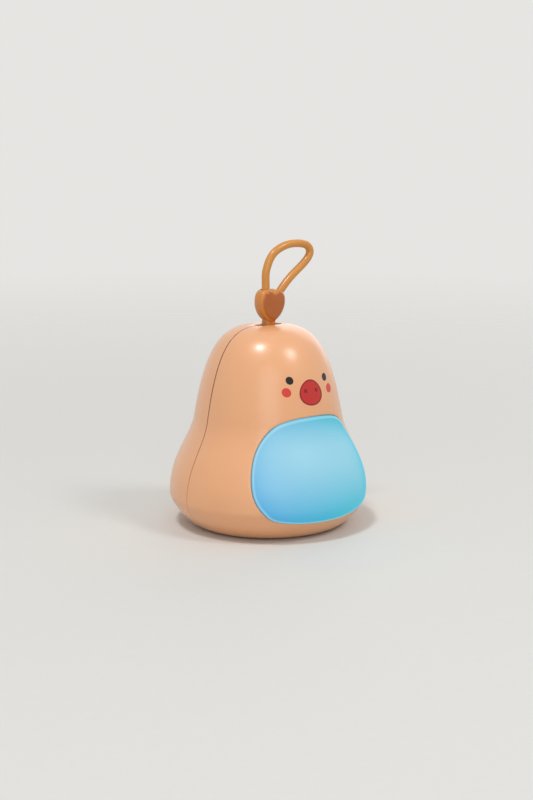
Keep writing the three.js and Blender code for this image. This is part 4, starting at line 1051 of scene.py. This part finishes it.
# A clear rod brings the charge light through the rear shell. It is polished, with the faintest waves from
# the mould, ends flush with the curve of the housing and has a collar behind the wall.
rod_low, rod_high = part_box("charge_light_rod")
rod_place = ((rod_low.x + rod_high.x) / 2, port_height)
rod_radius, rod_edge = 1.1 * mm, 0.12 * mm
rod_collar, rod_collar_length = 1.8 * mm, 1.6 * mm


def wall_depth(x, height):
    """How far behind the middle plane the rear wall's outer face is at x and a height."""
    return np.sqrt(radius_at(rise_at_height(height)) ** 2 - x ** 2)


def rod_end(radius, inset):
    """A ring of the rod, a little inside the wall's outer face."""
    ring = rod_place + radius * circle(48)
    return upright(ring, wall_depth(*ring.T) - inset)


behind_wall = wall_depth(*rod_place) - wall - 2 * cover_gap
rod_rows = [upright(rod_place + radius * circle(48), y) for radius, y in (
    (rod_radius, rod_low.y), (rod_radius, behind_wall - rod_collar_length),
    (rod_collar, behind_wall - rod_collar_length), (rod_collar, behind_wall), (rod_radius, behind_wall))]
rod_rows += [rod_end(rod_radius - rod_edge + out, inset) for out, inset in quarter(rod_edge, 5)[::-1]]
rod_rows += [rod_end(rod_radius * share, 0) for share in (0.7, 0.4, 0.1)]
clear = finish("clear plastic", grained((226, 236, 238), (238, 244, 245), (0.8 * mm, 2), (0.8 * mm, 2),
                                        (0.06, 0.06, 0), (0.01 * mm, 0.4)), Transmission_Weight=0.7, IOR=1.49)
add_piece("charge_light_guide", stacked(rod_rows), clear, "charge_light_rod")


# The power button is a cap of the shells' own plastic. It stands a little proud, follows the housing's
# curve with a shallow dish for the fingertip, and has a flange behind the collar inside.
button_radius, button_flange, flange_thickness = 4.5 * mm, 5.8 * mm, 1.0 * mm
button_proud, button_dish, cap_edge, cap_cell = 0.4 * mm, 0.35 * mm, 0.4 * mm, 0.45 * mm
button_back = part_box("power_button")[0].y


def disc(radius):
    """A circle in the front view about the button's axis, running the other way round."""
    return stadium(2 * radius, 2 * radius, 0, button_height, 96)[::-1]


def button_lift(turn, rise):
    """Proud by a fixed height, less a dish that is 1 minus the squared share of the radius, squared."""
    points = on_housing(turn, rise)[0]
    share = np.hypot(points[:, 0], points[:, 2] - button_height) / button_radius
    return button_proud - button_dish * np.clip(1 - share ** 2, 0, 1) ** 2


def button_inside(turn, rise):
    """The flat back of the cap."""
    points = on_housing(turn, rise)[0]
    points[:, 1] = button_back
    return points


cap_rim = rim(cap_edge, *[upright(disc(radius), y) for radius, y in (
    (button_radius, button_back + flange_thickness), (button_flange, button_back + flange_thickness),
    (button_flange, button_back))])
cap = plate([traced(disc(button_radius), cap_edge, 1)], [cap_rim], cap_cell, button_inside, button_lift)
add_piece("button_cap", cap, peach_plastic, "power_button", "button")


# The base cover is a thick moulded disc that joins the shells from below. It has a rounded edge, cups for
# its four screws and pockets for the feet, and on its upper side two saddles and two posts for the cell.
cover_under, cover_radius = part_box("base_cover")[0].z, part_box("base_cover")[1].x
cover_top, cover_edge, cover_chamfer, cup_flare = cover_under + 2.4 * mm, 0.5 * mm, 0.2 * mm, 0.2 * mm
head_radius, head_height, shank_radius = 2.0 * mm, 1.1 * mm, 0.85 * mm
foot_radius, foot_thickness = 4.0 * mm, 1.3 * mm
saddle_place, saddle_width, saddle_half_depth, saddle_drop = 14 * mm, 2.5 * mm, 8 * mm, 3 * mm
cell_radius, cell_depth, cell_height = 9.2 * mm, 6 * mm, 18.5 * mm
clip_screw_reach, clip_post_radius, clip_post_height = 13.75 * mm, 2.3 * mm, 2.5 * mm
riser_root = cover_under + 1.2 * mm


def spun(profile, centre, sides=96, way=(0, 0, 1), sink=0.0):
    """A profile of radii and heights turned round an axis through a point, with sink added to the heights.
    If the profile starts and ends at no radius, its ends are poles."""
    radius, height = np.array(profile, float).T
    spokes = circle(sides) @ [np.roll(way, -1), np.cross(way, np.roll(way, -1))]
    whole = radius > 0
    rings = centre + (height[whole, None] + sink)[..., None] * way + radius[whole, None, None] * spokes
    poles = centre + height[[0, -1], None, None] * way
    return stacked(rings, None if whole.all() else poles)


def rounded(radius, height, edge, steps=5):
    """Profile points of a quarter round under a corner: from the flat below to the full radius."""
    return (radius - edge, height) + quarter(edge, steps)


def box_body(low, high):
    """A closed box between two corners."""
    (left, front, under), (right, back, top) = low, high
    return stacked([[(left, front, z), (right, front, z), (right, back, z), (left, back, z)]
                    for z in (under, top)])


def table_point(node):
    """The point on the table under the middle of a node."""
    return np.mean(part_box(node), axis=0) * (1, 1, 0)


def cup(node, radius, depth, sides):
    """A tool for the cup under a node: its radius and depth with some play, flared at the mouth."""
    radius, depth = radius + cover_gap, depth + cover_gap
    wide = radius + 2 * cup_flare
    return spun([(0, 0), (wide, 0), (wide, cover_under - cup_flare), (radius, cover_under + cup_flare),
                 (radius, depth), (0, depth)], table_point(node), sides)


def post(radius, side, low, high):
    """An upright round bar at one of the clip's two screws."""
    y = cell_depth + side * clip_screw_reach
    return round_bar(radius, np.array([0, y, low]), np.array([0, y, high]), 32)


cover_profile = [(0, cover_under), (cover_radius * 0.5, cover_under),
                 *rounded(cover_radius, cover_under, cover_edge), (cover_radius, cover_top - cover_chamfer),
                 (cover_radius - cover_chamfer, cover_top), (0, cover_top)]
cover = add_piece("base_plate", spun(cover_profile, np.zeros(3), 128), peach_plastic, "base_cover")
risers, cuts = [], [round_bar(cell_radius + cover_gap, np.array([-2 * saddle_place, cell_depth, cell_height]),
                              np.array([2 * saddle_place, cell_depth, cell_height]), 96)]
for side in (-1, 1):
    risers.append(box_body(
        (side * saddle_place - saddle_width / 2, cell_depth - saddle_half_depth, riser_root),
        (side * saddle_place + saddle_width / 2, cell_depth + saddle_half_depth, cell_height - saddle_drop)))
    risers.append(post(clip_post_radius, side, riser_root, cover_top + clip_post_height))
for number in range(1, 5):
    screw_place = table_point(f"base_screw_{number}")
    cuts.append(cup(f"base_screw_{number}", head_radius, cover_under + head_height, 48))
    cuts.append(round_bar(shank_radius + cover_gap, screw_place, screw_place + (0, 0, 2 * cover_top), 32))
    cuts.append(cup(f"foot_{number}", foot_radius, foot_thickness, 72))
for side in (-1, 1):
    low = cover_top + cover_gap
    cuts.append(post(shank_radius + cover_gap, side, low, low + 2 * clip_post_height))
carve(cover, risers, "UNION")
carve(cover, cuts)


# Fourteen pan head screws of bright zinc-plated steel hold the cover, the tray, both boards and the clip.
# Each has a domed head with a cross recess and a threaded shank, and a plate with a crystalline mottle.
screw_groups = {"base_screw": (4, (0, 0, 1)), "tray_screw": (4, (0, -1, 0)), "led_screw": (2, (0, 1, 0)),
                "clip_screw": (2, (0, 0, -1)), "board_screw": (2, (0, 1, 0))}
screw_sides, screw_dome, head_round = 64, 0.3 * mm, np.array([0.04, 0.12, 0.25]) * mm
tip_shares = np.array([0.7, 0.2])
cross_half_width, cross_reach, cross_depth, cross_soft = 0.27 * mm, 1.15 * mm, 0.6 * mm, 0.08 * mm
thread_pitch, thread_depth, thread_start, thread_end, tip_length = np.array([0.45, 0.13, 0.6, 0.8, 0.5]) * mm


def screw_body(length, start, way):
    """Rings from the middle of the head, whose height rises with the squared radius, over its edge and down
    a shank whose radius waves along its length. The cross is where the smaller of the two distances from
    the head's middle lines is within its half width, and it gets shallower towards its ends."""
    share = np.concatenate([np.linspace(0.03, 0.8, 17), [0.88, 0.95, 0.99, 1]])
    dome = screw_dome * share ** 2
    dome[-3:] += head_round
    turns = np.arange(head_height + thread_start, length - thread_end, thread_pitch / 4)
    shank = shank_radius - thread_depth * np.abs(turns / thread_pitch % 1 * 2 - 1)
    tip = shank_radius * tip_shares
    radius = np.concatenate([head_radius * share, [head_radius, shank_radius], shank, tip])
    height = np.concatenate([dome, [head_height, head_height], turns, [length - tip_length, length]])
    reach = radius[:, None, None] * np.abs(circle(screw_sides))
    within = np.clip((cross_half_width - reach.min(-1)) / cross_soft + 0.5, 0, 1)
    cut = within * np.clip(1 - (reach.max(-1) / cross_reach) ** 3, 0, 1)
    cut[len(share):] = 0
    return spun(np.stack([radius, height], -1), start, screw_sides, way, cross_depth * cut)


zinc = finish("bright zinc", grained((172, 176, 184), (206, 208, 210), (0.6 * mm, 4), (0.08 * mm, 2),
                                     (0.24, 0.14, 0), (0.003 * mm, 0.4)), Metallic=1.0)
for group, (count, way) in screw_groups.items():
    for node in (f"{group}_{number}" for number in range(1, count + 1)):
        low, high = np.array(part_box(node))
        length = abs((high - low) @ way)
        shape = screw_body(length, (low + high - length * np.array(way)) / 2, np.array(way))
        add_piece(f"{node}_steel", shape, zinc, node)


# Four feet of soft grey rubber are pressed into the cover's pockets. Each has a rounded rim and a shallow
# dish underneath, so that it grips with its edge. The rubber has a fine pitted skin, dusty in patches.
foot_rim, foot_dish, foot_chamfer = 0.35 * mm, 0.15 * mm, 0.1 * mm
rubber = finish("grey rubber", grained((128, 124, 119), (146, 142, 137), (2.5 * mm, 3), (0.25 * mm, 4),
                                       (0.72, 0, 0.15), (0.03 * mm, 0.5)), Specular_IOR_Level=0.3)
foot_profile = [(0, foot_dish), (foot_radius * 0.4, foot_dish), (foot_radius * 0.66, foot_dish),
                (foot_radius * 0.74, foot_dish / 3), (foot_radius * 0.8, 0),
                *rounded(foot_radius, 0, foot_rim, 6), (foot_radius, foot_thickness - foot_chamfer),
                (foot_radius - foot_chamfer, foot_thickness), (0, foot_thickness)]
for node in (f"foot_{number}" for number in range(1, 5)):
    add_piece(f"{node}_rubber", spun(foot_profile, table_point(node), 72), rubber, node)
